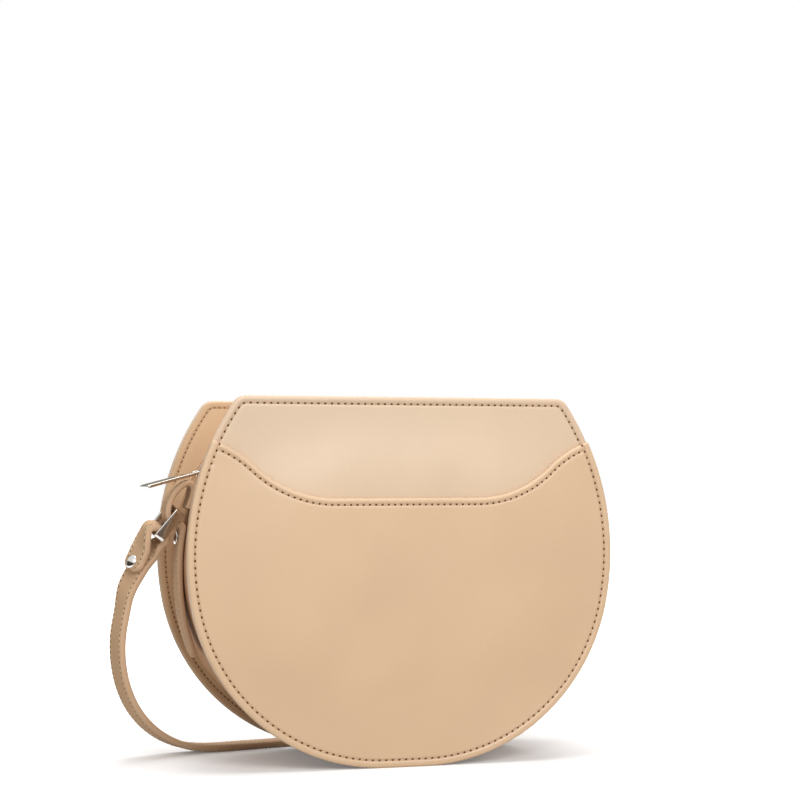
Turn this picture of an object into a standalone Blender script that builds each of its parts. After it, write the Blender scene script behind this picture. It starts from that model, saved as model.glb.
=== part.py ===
"""Half moon bag in leather: two half moon panels, a recessed gusset, a front pocket, a zip, and a shoulder
strap on two metal rings. Metres, +Z up. The front faces -Y, and the zip's closed end is at -X.

The origin is the foot of the front panel, in the middle of its leather's thickness.
"""

import math

import bmesh
import bpy
import numpy as np
from mathutils import Matrix, Vector

for leftover in list(bpy.data.objects):
    bpy.data.objects.remove(leftover, do_unlink=True)

# The bag as a whole
BAG_HEIGHT = 0.180
BAG_DEPTH = 0.080
FIT_GAP = 0.0003

# The half moon outline: a short flat foot, two arcs a side, a small corner and a flat top
FOOT_HALF = 0.010
LOWER_RADIUS = 0.0975
LOWER_TURN = math.radians(80)
UPPER_RADIUS = 0.131
TOP_CORNER = 0.008
ZIP_END_TURN = math.radians(103.7)
GUSSET_END_TURN = math.radians(113.5)
FOOT_STEPS = 1
LOWER_STEPS = 14
UPPER_STEPS = 5
SHOULDER_STEPS = 6
CORNER_STEPS = 8

# Shading and bevels
SMOOTH_ANGLE = math.radians(35)
RING_SHARP_ANGLE = math.radians(60)
BEVEL_ANGLE = math.radians(50)
BEVEL_SEGMENTS = 2

# Leather
PANEL_LEATHER = 0.0024
PANEL_EDGE_ROUND = 0.0007
POCKET_LEATHER = 0.0018
GUSSET_LEATHER = 0.0016
LINING_BOARD = 0.0010
LINING_ROOM = 0.0014

# The front pocket's top edge: flat in the middle, then two arcs of one radius up to the outline
POCKET_DIP_HEIGHT = 0.1305
POCKET_DIP_HALF = 0.036
POCKET_CURVE = 0.057
POCKET_TURN = math.radians(43)
POCKET_STEPS = 7

# The gusset: flanges sewn to the panels, and a strip set back from the rims that swells outwards at mid-depth
FLANGE_EDGE = 0.0008
FLANGE_DEPTH = 0.0062
GUSSET_SWELL = 0.0014
ZIP_SWELL = 0.0008
ZIP_CORNER = 0.022
SWELL_POINTS = 5

# The zip
ZIP_MOUTH = 0.0104
TAPE_THICKNESS = 0.0006
TAPE_ROOM = 0.0005
TAPE_UNDER_FACING = 0.006
TOOTH_PITCH = 0.0030
TOOTH_LENGTH = 0.0012
TOOTH_REACH = 0.0008
TOOTH_ROOT = 0.0015
BEAD_WIDTH = 0.0008
TOOTH_THICKNESS = 0.0020
STOP_LENGTH = 0.005
STOP_WIDTH = 0.006

# The zip's slider and puller
SLIDER_HEIGHT = 0.1415
SLIDER_LENGTH = 0.011
SLIDER_WIDTH = 0.0086
SLIDER_TAIL_WIDTH = 0.0064
SLIDER_PLATE = 0.0009
SLIDER_ROOM = 0.0006
SLIDER_EDGE_ROUND = 0.0003
SLIDER_POST_WIDTH = 0.0020
SLIDER_POST_LENGTH = 0.0026
ARCH_LENGTH = 0.0080
ARCH_WIDTH = 0.0018
ARCH_WALL = 0.0009
ARCH_ROOM = 0.0036
ARCH_SEAT_SHARE = 0.56
PULLER_LENGTH = 0.0346
PULLER_THICKNESS = 0.0015
PULLER_EYE_WIDTH = 0.0057
PULLER_END_WIDTH = 0.0085
PULLER_BAR = 0.0012
PULLER_WINDOW_LENGTH = 0.0046
PULLER_WINDOW_WIDTH = 0.0037
PULLER_TIP_ROUND = 0.0012
PULLER_YAW = math.radians(20.6)
PULLER_DROP = math.radians(13)

# The anchor tabs, each sewn up the gusset and folded out at its top into a loop
TAB_WIDTH = 0.0130
TAB_LEATHER = 0.0030
TAB_TIP_HEIGHT = 0.052
TAB_TIP_ROUND = 0.006
TAB_SEAT = 0.0004
TAB_STEPS = 7
# How far along a rounded tip its cross sections lie
TIP_SHARES = (0.00, 0.15, 0.45, 1.00)
LOOP_FOOT = 0.1155
LOOP_RISE = 0.0198
LOOP_REACH = 0.0099
# Each pair is the loop's reach out from the gusset and its rise above the foot
LOOP_SHARES = (
    (0.00, 0.00),
    (0.14, 0.09),
    (0.52, 0.17),
    (0.88, 0.31),
    (1.00, 0.56),
    (0.86, 0.82),
    (0.50, 0.98),
    (0.13, 0.90),
    (0.00, 0.70),
    (0.00, 0.44),
)
LOOP_STEPS = 4

# The metal rings and the rivets
RING_LENGTH = 0.0174
RING_SPAN = 0.0212
RING_BAND = 0.0053
RING_METAL = 0.0016
RING_CORNER = 0.0012
RING_CORNER_STEPS = 3
RING_PIVOT_HEIGHT = 0.1248
RING_PIVOT_OFF_GUSSET = 0.0069
LEFT_RING_DROP = math.radians(51.5)
LEFT_RING_TILT = math.radians(10)
RIGHT_RING_DROP = math.radians(58)
RIGHT_RING_TILT = 0.0
RIVET_HEAD = 0.0034
RIVET_DOME = 0.0012
RIVET_SHANK = 0.0015
RIVET_FOOT = 0.0028
RIVET_FOOT_THICKNESS = 0.0006
RIVET_SEAT = 0.0002
RIVET_SIDES = 20
# Each pair is the dome's rise and its radius
DOME_SHARES = ((0.45, 0.92), (0.85, 0.55))
TAB_RIVET_HEIGHT = 0.1105

# The shoulder strap and its folded ends
STRAP_WIDTH = 0.0136
STRAP_THICKNESS = 0.0034
FOLD_ROOM = 0.0007
FOLD_THROAT = 0.0085
FOLD_LENGTH = 0.0215
FOLD_TAIL = 0.0040
FOLD_TIP_ROUND = 0.005
FOLD_STEPS = 4
# Each pair is a place on the throat, as its distance from the bar and its opening
THROAT_SHARES = ((1.00, 0.00), (0.75, 0.25), (0.30, 0.90))
LEFT_FOLD_DROP = math.radians(64)
RIGHT_FOLD_DROP = math.radians(90)
STRAP_RIVET_SHARE = 0.80
STRAP_STEP = 0.007
STRAP_CURVE_STEPS = 12
FLOOR_LIFT = 0.0001
# Where the strap lies: each row is a point on its middle line, in shares of the bag's height, then the way
# that its width points
STRAP_LEFT_SHARES = (
    ((-0.721, 0.267, 0.433), (-0.08, 0.97, 0.24)),
    ((-0.735, 0.275, 0.356), (-0.14, 0.96, 0.20)),
    ((-0.732, 0.292, 0.278), (-0.18, 0.96, 0.14)),
    ((-0.707, 0.311, 0.200), (-0.20, 0.96, 0.08)),
    ((-0.656, 0.340, 0.128), (-0.22, 0.96, 0.05)),
    ((-0.583, 0.378, 0.067), (-0.25, 0.97, 0.02)),
    ((-0.500, 0.411, 0.025), (-0.28, 0.96, 0.00)),
    ((-0.417, 0.439, 0.011), (-0.28, 0.96, 0.00)),
    ((-0.306, 0.469, 0.010), (-0.25, 0.97, 0.00)),
    ((-0.194, 0.497, 0.010), (-0.22, 0.97, 0.00)),
    ((-0.067, 0.517, 0.022), (-0.08, 0.90, 0.40)),
    ((0.056, 0.525, 0.037), (-0.03, 0.40, 0.90)),
    ((0.167, 0.547, 0.039), (0.00, 0.00, 1.00)),
    ((0.250, 0.617, 0.039), (0.00, 0.00, 1.00)),
    ((0.272, 0.700, 0.039), (0.00, 0.00, 1.00)),
    ((0.233, 0.778, 0.039), (0.00, 0.00, 1.00)),
    ((0.144, 0.817, 0.039), (0.00, 0.00, 1.00)),
    ((0.044, 0.833, 0.039), (0.00, 0.00, 1.00)),
    ((-0.039, 0.883, 0.039), (0.00, 0.00, 1.00)),
    ((-0.067, 0.967, 0.039), (0.00, 0.00, 1.00)),
    ((-0.022, 1.050, 0.039), (0.00, 0.00, 1.00)),
    ((0.078, 1.086, 0.039), (0.00, 0.00, 1.00)),
    ((0.200, 1.092, 0.039), (0.00, 0.00, 1.00)),
    ((0.333, 1.092, 0.039), (0.00, 0.00, 1.00)),
)
STRAP_RIGHT_SHARES = (
    ((0.597, 0.214, 0.383), (0.03, 0.99, 0.00)),
    ((0.561, 0.219, 0.289), (0.10, 0.98, 0.10)),
    ((0.500, 0.231, 0.183), (0.25, 0.95, 0.15)),
    ((0.428, 0.258, 0.092), (0.48, 0.86, 0.15)),
    ((0.383, 0.317, 0.033), (0.85, 0.50, 0.10)),
    ((0.364, 0.400, 0.012), (0.99, 0.10, 0.00)),
    ((0.369, 0.489, 0.022), (0.95, 0.00, 0.30)),
    ((0.425, 0.567, 0.036), (0.50, -0.40, 0.80)),
    ((0.517, 0.619, 0.039), (0.00, 0.00, 1.00)),
    ((0.608, 0.686, 0.039), (0.00, 0.00, 1.00)),
    ((0.661, 0.778, 0.039), (0.00, 0.00, 1.00)),
    ((0.669, 0.883, 0.039), (0.00, 0.00, 1.00)),
    ((0.633, 0.981, 0.039), (0.00, 0.00, 1.00)),
    ((0.556, 1.053, 0.039), (0.00, 0.00, 1.00)),
    ((0.450, 1.086, 0.039), (0.00, 0.00, 1.00)),
    ((0.333, 1.092, 0.039), (0.00, 0.00, 1.00)),
)

LEFT = -1
RIGHT = 1

# Planes across the depth, worked out from the sizes above
FRONT_INSIDE = PANEL_LEATHER / 2
FRONT_FACE = -PANEL_LEATHER / 2
BACK_FACE = FRONT_FACE + BAG_DEPTH
BACK_INSIDE = BACK_FACE - PANEL_LEATHER
MID_DEPTH = (FRONT_FACE + BACK_FACE) / 2
GUSSET_FRONT = FRONT_INSIDE + FIT_GAP
GUSSET_BACK = BACK_INSIDE - FIT_GAP

# Depths below the outline, worked out from the sizes above
GUSSET_MID = FLANGE_DEPTH - GUSSET_SWELL
TAB_MIDDLE = GUSSET_MID - TAB_SEAT - TAB_LEATHER / 2
ZIP_FACING_MID = FLANGE_DEPTH - ZIP_SWELL
TAPE_MIDDLE = ZIP_FACING_MID + GUSSET_LEATHER + TAPE_ROOM + TAPE_THICKNESS / 2


def material(name, colour, roughness, metallic=0.0):
    """A plain Principled material."""
    made = bpy.data.materials.new(name)
    made.use_nodes = True
    shader = made.node_tree.nodes["Principled BSDF"]
    shader.inputs["Base Color"].default_value = (*colour, 1.0)
    shader.inputs["Roughness"].default_value = roughness
    shader.inputs["Metallic"].default_value = metallic
    made.diffuse_color = (*colour, 1.0)
    return made


PANEL_TAN = material("panel leather", (0.66, 0.49, 0.33), 0.42)
POCKET_TAN = material("pocket leather", (0.68, 0.51, 0.34), 0.40)
GUSSET_TAN = material("gusset leather", (0.55, 0.38, 0.24), 0.48)
STRAP_TAN = material("strap leather", (0.62, 0.45, 0.30), 0.45)
LINING_CLOTH = material("lining cloth", (0.36, 0.29, 0.22), 0.85)
TAPE_CLOTH = material("zip tape", (0.42, 0.30, 0.20), 0.80)
NICKEL = material("polished nickel", (0.72, 0.71, 0.69), 0.14, 1.0)
ZIP_METAL = material("zip metal", (0.66, 0.65, 0.62), 0.28, 1.0)


def add_object(name, mesh, look, parent=None, smooth=True):
    """Puts a mesh in the scene as a named object with its material."""
    made = bpy.data.objects.new(name, mesh)
    bpy.context.scene.collection.objects.link(made)
    mesh.materials.append(look)
    if smooth:
        mesh.shade_smooth()
        mesh.set_sharp_from_angle(angle=SMOOTH_ANGLE)
    if parent is not None:
        made.parent = parent
    return made


def closed_mesh(name, vertices, faces):
    """A mesh of these corners and faces, with every face turned outwards."""
    shape = bmesh.new()
    corners = [shape.verts.new(point) for point in vertices]
    for face in faces:
        shape.faces.new([corners[index] for index in face])
    bmesh.ops.recalc_face_normals(shape, faces=shape.faces)
    mesh = bpy.data.meshes.new(name)
    shape.to_mesh(mesh)
    shape.free()
    return mesh


def loft(name, rings, closed=False):
    """A solid through rings of as many points each: capped at both ends, or running round into itself."""
    rings = np.asarray(rings, float)
    stations, around = rings.shape[:2]
    faces = []
    for station in range(stations if closed else stations - 1):
        here = station * around
        there = (station + 1) % stations * around
        for k in range(around):
            after = (k + 1) % around
            faces.append((here + k, here + after, there + after, there + k))
    if not closed:
        faces.append(tuple(range(around))[::-1])
        faces.append(tuple(range((stations - 1) * around, stations * around)))
    return closed_mesh(name, rings.reshape(-1, 3), faces)


def prism(name, outline, start, end):
    """An outline of (x, z) points, drawn from one depth to another."""
    outline = np.asarray(outline, float)
    rings = [np.insert(outline, 1, depth, axis=1) for depth in (start, end)]
    return loft(name, rings)


def arc(centre, radius, start, end, steps):
    """Points of an arc and their outward directions, with angles from straight down, to the side and up."""
    turns = np.linspace(start, end, steps + 1)
    away = np.stack([np.sin(turns), -np.cos(turns)], axis=1)
    return np.asarray(centre) + radius * away, away


LOWER_CENTRE = np.array([FOOT_HALF, LOWER_RADIUS])
LOWER_END = np.array([math.sin(LOWER_TURN), -math.cos(LOWER_TURN)])
UPPER_CENTRE = LOWER_CENTRE + (LOWER_RADIUS - UPPER_RADIUS) * LOWER_END


def corner_at(inset, gusset=True):
    """(centre, radius, start turn) of the top corner of the outline drawn inwards by inset."""
    around, reach = (LOWER_CENTRE, LOWER_RADIUS) if gusset else (UPPER_CENTRE, UPPER_RADIUS)
    radius = ZIP_CORNER + FLANGE_DEPTH - inset if gusset else TOP_CORNER - inset
    rise = BAG_HEIGHT - inset - radius - around[1]
    run = math.sqrt((reach - inset - radius) ** 2 - rise**2)
    return around + (run, rise), radius, math.atan2(run, -rise)


def side_low(inset, gusset=True):
    """The outline from the middle of the foot up to where the zip ends, as points and outward directions.

    The gusset carries its lower arc on, so the panels' top corners stand out past it.
    """
    foot = np.array([(0.0, inset), (FOOT_HALF, inset)])[:FOOT_STEPS]
    down = np.array([(0.0, -1.0)] * FOOT_STEPS)
    low, low_away = arc(LOWER_CENTRE, LOWER_RADIUS - inset, 0.0, LOWER_TURN, LOWER_STEPS)
    if gusset:
        high, high_away = arc(LOWER_CENTRE, LOWER_RADIUS - inset, LOWER_TURN, GUSSET_END_TURN, UPPER_STEPS)
    else:
        high, high_away = arc(UPPER_CENTRE, UPPER_RADIUS - inset, LOWER_TURN, ZIP_END_TURN, UPPER_STEPS)
    return np.vstack([foot, low, high[1:]]), np.vstack([down, low_away, high_away[1:]])


def side_high(inset, gusset=True):
    """The outline from the zip's end up to the end of the top corner, as points and outward directions."""
    centre, radius, turn = corner_at(inset, gusset)
    if gusset:
        side, side_away = arc(LOWER_CENTRE, LOWER_RADIUS - inset, GUSSET_END_TURN, turn, SHOULDER_STEPS)
    else:
        side, side_away = arc(UPPER_CENTRE, UPPER_RADIUS - inset, ZIP_END_TURN, turn, SHOULDER_STEPS)
    corner, corner_away = arc(centre, radius, turn, math.pi, CORNER_STEPS)
    return np.vstack([side, corner[1:]]), np.vstack([side_away, corner_away[1:]])


def both_sides(points):
    """A right half from the bottom or the top, mirrored: the left end first and the right end last."""
    points = np.asarray(points, float)
    left = points[::-1] * [-1, 1]
    if math.isclose(points[0, 0], 0.0, abs_tol=FIT_GAP):
        left = left[:-1]
    return np.vstack([left, points])


def outline(inset, gusset=False):
    """The whole closed outline drawn inwards by inset."""
    half = np.vstack([side_low(inset, gusset)[0], side_high(inset, gusset)[0][1:]])
    return both_sides(half)


def on_side(height, inset, side):
    """The point of the gusset's arc at this height, drawn inwards by inset, and the ways out and up."""
    centre, radius = LOWER_CENTRE, LOWER_RADIUS - inset
    turn = math.acos((centre[1] - height) / radius)
    away = np.array([side * math.sin(turn), -math.cos(turn)])
    up = np.array([-side * away[1], side * away[0]])
    point = np.array([side * centre[0], centre[1]]) + radius * away
    return point, away, up


def in_depth(points, depth):
    """(x, z) points as (x, y, z) ones at this depth."""
    return np.insert(np.asarray(points, float), 1, depth, axis=1)


def cut_with(target, cutters, operation="DIFFERENCE"):
    """Cuts or joins with other objects, which stay as hidden guides."""
    for cutter in cutters:
        cutter.hide_render = True
        cutter.display_type = "WIRE"
        change = target.modifiers.new(cutter.name, "BOOLEAN")
        change.operation = operation
        change.solver = "EXACT"
        change.object = cutter


def round_edges(target, width):
    """A bevel on the sharp edges."""
    bevel = target.modifiers.new("round edges", "BEVEL")
    bevel.width = width
    bevel.segments = BEVEL_SEGMENTS
    bevel.limit_method = "ANGLE"
    bevel.angle_limit = BEVEL_ANGLE


def turned(name, profile, axis_start, axis):
    """A solid turned about an axis: the profile is (distance along the axis, radius), from pole to pole."""
    axis = Vector(axis).normalized()
    side = axis.orthogonal().normalized()
    other = axis.cross(side)
    start = Vector(axis_start)
    spin = [2 * math.pi * k / RIVET_SIDES for k in range(RIVET_SIDES)]
    vertices = [start + axis * profile[0][0]]
    for along, radius in profile[1:-1]:
        for angle in spin:
            out = side * math.cos(angle) + other * math.sin(angle)
            vertices.append(start + axis * along + out * radius)
    vertices.append(start + axis * profile[-1][0])
    last = len(vertices) - 1
    rows = len(profile) - 2
    faces = []
    for k in range(RIVET_SIDES):
        after = (k + 1) % RIVET_SIDES
        faces.append((0, 1 + after, 1 + k))
        faces.append((last, last - RIVET_SIDES + k, last - RIVET_SIDES + after))
        for row in range(rows - 1):
            here = 1 + row * RIVET_SIDES
            there = here + RIVET_SIDES
            faces.append((here + k, here + after, there + after, there + k))
    return closed_mesh(name, vertices, faces)


# Panels and the front pocket
def make_panels():
    """The two half moon panels, alike, with rounded rims."""
    for name, start in (("front_panel", FRONT_FACE), ("back_panel", BACK_INSIDE)):
        panel = add_object(name, prism(name, outline(0.0), start, start + PANEL_LEATHER), PANEL_TAN)
        round_edges(panel, PANEL_EDGE_ROUND)


def pocket_edge():
    """The right half of the pocket's top edge, from the outline in, and the turn where it leaves."""
    valley = (POCKET_DIP_HALF, POCKET_DIP_HEIGHT + POCKET_CURVE)
    rise = 2 * POCKET_CURVE * np.array([math.sin(POCKET_TURN), -math.cos(POCKET_TURN)])
    crest = np.array(valley) + rise
    # Where the crest's circle crosses the outline's upper arc
    between = crest - UPPER_CENTRE
    apart = np.linalg.norm(between)
    along = (apart**2 + UPPER_RADIUS**2 - POCKET_CURVE**2) / (2 * apart)
    aside = math.sqrt(UPPER_RADIUS**2 - along**2)
    ahead = between / apart
    meeting = UPPER_CENTRE + along * ahead + aside * np.array([-ahead[1], ahead[0]])
    leaving = math.atan2(*((meeting - UPPER_CENTRE) * [1, -1]))
    last = math.asin((crest[0] - meeting[0]) / POCKET_CURVE)
    low, _ = arc(valley, POCKET_CURVE, 0.0, POCKET_TURN, POCKET_STEPS)
    turns = np.linspace(POCKET_TURN, last, POCKET_STEPS + 1)
    high = crest + POCKET_CURVE * np.stack([-np.sin(turns), np.cos(turns)], axis=1)
    return np.vstack([low, high[1:]])[::-1], leaving


def make_pocket():
    """The front pocket: a patch that covers the panel below its dipped top edge."""
    edge, leaving = pocket_edge()
    low, _ = side_low(0.0, gusset=False)
    high, _ = arc(UPPER_CENTRE, UPPER_RADIUS, ZIP_END_TURN, leaving, UPPER_STEPS)
    half = np.vstack([low, high[1:-1], edge])
    back = FRONT_FACE - FIT_GAP
    patch = prism("front_pocket", both_sides(half), back - POCKET_LEATHER, back)
    pocket = add_object("front_pocket", patch, POCKET_TAN)
    round_edges(pocket, PANEL_EDGE_ROUND)


# Gusset, zip facings and linings
def swell_at(depth, swell):
    """How far below the outline the strip lies at this depth."""
    half = (GUSSET_BACK - GUSSET_FRONT) / 2
    return FLANGE_DEPTH - swell * (1 - ((depth - MID_DEPTH) / half) ** 2)


def flange_section():
    """The front flange as (inset, depth, follows the gusset's corner), from its foot to its root."""
    inner = GUSSET_FRONT + GUSSET_LEATHER
    return [
        (FLANGE_EDGE, GUSSET_FRONT, False),
        (FLANGE_EDGE, inner, False),
        (FLANGE_DEPTH, inner, True),
    ]


def mirrored_depth(section):
    """A section's other half, for the back, in reverse order."""
    return [(inset, 2 * MID_DEPTH - depth, follows) for inset, depth, follows in section[::-1]]


def make_gusset():
    """The gusset: one strip round the bottom and up the sides to the zip's ends, flanged at each panel."""
    depths = np.linspace(GUSSET_FRONT + GUSSET_LEATHER, GUSSET_BACK - GUSSET_LEATHER, SWELL_POINTS + 2)[1:-1]
    outer = [(swell_at(depth, GUSSET_SWELL), depth, True) for depth in depths]
    inner = [(inset + GUSSET_LEATHER, depth, True) for inset, depth, _ in outer]
    foot = [(FLANGE_DEPTH + GUSSET_LEATHER, GUSSET_FRONT, True)]
    front = flange_section()
    section = front + outer + mirrored_depth(front) + mirrored_depth(foot) + inner[::-1] + foot
    lines = [in_depth(both_sides(side_low(inset, follows)[0]), depth) for inset, depth, follows in section]
    gusset = add_object("gusset", loft("gusset", np.stack(lines, axis=1)), GUSSET_TAN)
    cut_with(gusset, [rivet_hole("gusset_hole", side) for side in (LEFT, RIGHT)])


def over_the_top(section):
    """A section of (inset, depth, follows the gusset) run from one zip end over the top to the other."""
    halves = [(side_high(inset, follows)[0][::-1], depth) for inset, depth, follows in section]
    lines = [in_depth(both_sides(half), depth) for half, depth in halves]
    return np.stack(lines, axis=1)


def make_zip_facings():
    """The leather facings that the zip is sewn between, each with the flange that joins it to its panel."""
    edge = MID_DEPTH - ZIP_MOUTH / 2
    middle = (GUSSET_FRONT + edge) / 2
    front = flange_section()
    outer = [(swell_at(depth, ZIP_SWELL), depth, True) for depth in (middle, edge)]
    inner = [(inset + GUSSET_LEATHER, depth, True) for inset, depth, _ in outer[::-1]]
    foot = [(FLANGE_DEPTH + GUSSET_LEATHER, GUSSET_FRONT, True)]
    section = front + outer + inner + foot
    for name, shape in (("zip_facing_front", section), ("zip_facing_back", mirrored_depth(section))):
        facing = loft(name, clear_of_gusset(over_the_top(shape)))
        add_object(name, facing, GUSSET_TAN)


def clear_of_gusset(rings):
    """Rings over the top, with the two end ones drawn back along the strip by the fitting gap."""
    rings = np.array(rings)
    for end, near in ((0, 1), (-1, -2)):
        step = rings[near] - rings[end]
        rings[end] += step / np.linalg.norm(step, axis=1, keepdims=True) * FIT_GAP
    return rings


def make_linings():
    """The stiff lined boards inside: one behind each panel, and one round the gusset."""
    inset = FLANGE_DEPTH + GUSSET_LEATHER + FIT_GAP
    for name, start in (("front_lining", GUSSET_FRONT), ("back_lining", GUSSET_BACK - LINING_BOARD)):
        add_object(name, prism(name, outline(inset, gusset=True), start, start + LINING_BOARD), LINING_CLOTH)
    front = GUSSET_FRONT + LINING_BOARD + FIT_GAP
    depths = np.linspace(front, 2 * MID_DEPTH - front, SWELL_POINTS)
    room = GUSSET_LEATHER + LINING_ROOM
    outer = [(swell_at(depth, GUSSET_SWELL) + room, depth, True) for depth in depths]
    inner = [(inset + LINING_BOARD, depth, True) for inset, depth, _ in outer[::-1]]
    lines = [in_depth(both_sides(side_low(inset)[0]), depth) for inset, depth, _ in outer + inner]
    add_object("gusset_lining", loft("gusset_lining", np.stack(lines, axis=1)), LINING_CLOTH)


# Zip
def make_zip_tapes():
    """The two tapes, under the facings' edges and up to the teeth."""
    near = MID_DEPTH - TOOTH_ROOT - BEAD_WIDTH - FIT_GAP
    far = MID_DEPTH - ZIP_MOUTH / 2 - TAPE_UNDER_FACING
    low = TAPE_MIDDLE + TAPE_THICKNESS / 2
    high = TAPE_MIDDLE - TAPE_THICKNESS / 2
    section = [(high, far, True), (high, near, True), (low, near, True), (low, far, True)]
    for name, shape in (("zip_tape_front", section), ("zip_tape_back", mirrored_depth(section))):
        add_object(name, loft(name, clear_of_gusset(over_the_top(shape))), TAPE_CLOTH)


def zip_line(inset, ends):
    """The zip's line at this depth below the outline, as points and outward directions at chosen places."""
    points, away = side_high(inset)
    points = np.vstack([points * [-1, 1], points[::-1]])
    away = np.vstack([away * [-1, 1], away[::-1]])
    steps = np.linalg.norm(np.diff(points, axis=0), axis=1)
    walked = np.concatenate([[0.0], np.cumsum(steps)])
    places = np.concatenate(ends(walked[-1]))
    line = [np.interp(places, walked, points[:, k]) for k in (0, 1)]
    out = [np.interp(places, walked, away[:, k]) for k in (0, 1)]
    out = np.array(out) / np.linalg.norm(out, axis=0)
    return np.array(line).T, out.T


def make_zip_teeth():
    """The two rows of teeth, each a comb on a bead, that reach past the middle between each other."""
    half = TOOTH_THICKNESS / 2
    start = SLIDER_LENGTH
    for name, facing, phase in (("zip_teeth_front", -1, 0.0), ("zip_teeth_back", 1, TOOTH_PITCH / 2)):
        def stations(length, phase=phase):
            first = np.arange(start + phase, length - start - TOOTH_PITCH, TOOTH_PITCH)
            gap = TOOTH_PITCH - TOOTH_LENGTH
            return [np.stack([first, first + TOOTH_LENGTH, first + TOOTH_LENGTH + gap / 2], axis=1).ravel()]

        line, away = zip_line(TAPE_MIDDLE, stations)
        depths = (
            MID_DEPTH + facing * (TOOTH_ROOT + BEAD_WIDTH),
            MID_DEPTH + facing * TOOTH_ROOT,
            MID_DEPTH - facing * TOOTH_REACH,
        )
        # Six corners a station: outer and inner surface at the bead's edge, the root and the tip
        levels = [line + away * side for side in (half, -half)]
        corners = np.stack([in_depth(level, depth) for depth in depths for level in levels], axis=1)
        add_object(name, comb(name, corners), ZIP_METAL)


def comb(name, corners):
    """A bead with teeth, from three stations a tooth: the tooth runs from the first to the second."""
    count = len(corners)
    back_out, back_in, root_out, root_in, tip_out, tip_in = range(6)
    vertices = corners.reshape(-1, 3)
    faces = []
    used = set()

    def face(*places):
        faces.append([station * 6 + corner for station, corner in places])
        used.update(faces[-1])

    for a in range(count - 1):
        b = a + 1
        face((a, back_out), (b, back_out), (b, root_out), (a, root_out))
        face((a, back_in), (b, back_in), (b, root_in), (a, root_in))
        face((a, back_out), (b, back_out), (b, back_in), (a, back_in))
        if a % 3 == 0:
            face((a, root_out), (b, root_out), (b, tip_out), (a, tip_out))
            face((a, root_in), (b, root_in), (b, tip_in), (a, tip_in))
            face((a, tip_out), (b, tip_out), (b, tip_in), (a, tip_in))
            face((a, root_out), (a, root_in), (a, tip_in), (a, tip_out))
            face((b, root_out), (b, root_in), (b, tip_in), (b, tip_out))
        else:
            face((a, root_out), (b, root_out), (b, root_in), (a, root_in))
    for end in (0, count - 1):
        face((end, back_out), (end, back_in), (end, root_in), (end, root_out))
    kept = sorted(used)
    place = {old: new for new, old in enumerate(kept)}
    return closed_mesh(name, vertices[kept], [[place[index] for index in corner] for corner in faces])


def make_zip_stop():
    """The box that holds both tapes' ends at the zip's far end."""
    line, away = zip_line(TAPE_MIDDLE, lambda length: [np.array([length - SLIDER_LENGTH + TOOTH_PITCH])])
    point, out = line[0], away[0]
    along = np.array([-out[1], out[0]])
    width = STOP_WIDTH / 2
    half = TAPE_THICKNESS / 2 + TAPE_ROOM + SLIDER_PLATE
    corners = [
        point + along * STOP_LENGTH / 2 * a + out * half * b for a, b in ((-1, -1), (1, -1), (1, 1), (-1, 1))
    ]
    stop = add_object("zip_stop", prism("zip_stop", corners, MID_DEPTH - width, MID_DEPTH + width), ZIP_METAL)
    slots = []
    for facing in (-1, 1):
        slot = prism("stop_slot", [
            point + along * STOP_LENGTH * a + out * (TAPE_THICKNESS / 2 + TAPE_ROOM) * b
            for a, b in ((-1, -1), (1, -1), (1, 1), (-1, 1))
        ], MID_DEPTH + facing * (TOOTH_ROOT + BEAD_WIDTH), MID_DEPTH + facing * STOP_WIDTH)
        slots.append(add_object(f"stop_slot_{facing}", slot, ZIP_METAL))
    cut_with(stop, slots)


def slider_frame():
    """The slider's own frame: its middle, outwards from the bag, and up along the zip."""
    point, away, up = on_side(SLIDER_HEIGHT, TAPE_MIDDLE, LEFT)
    middle = Vector((point[0], MID_DEPTH, point[1]))
    return middle, Vector((away[0], 0.0, away[1])), Vector((up[0], 0.0, up[1]))


def block(name, frame, plan, low, high):
    """A flat piece: its plan is (along the zip, across) points, drawn outwards from low to high."""
    middle, away, up = frame
    flat = [middle + up * a + Vector((0, b, 0)) for a, b in plan]
    rings = [[point + away * level for point in flat] for level in (low, high)]
    return loft(name, rings)


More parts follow.
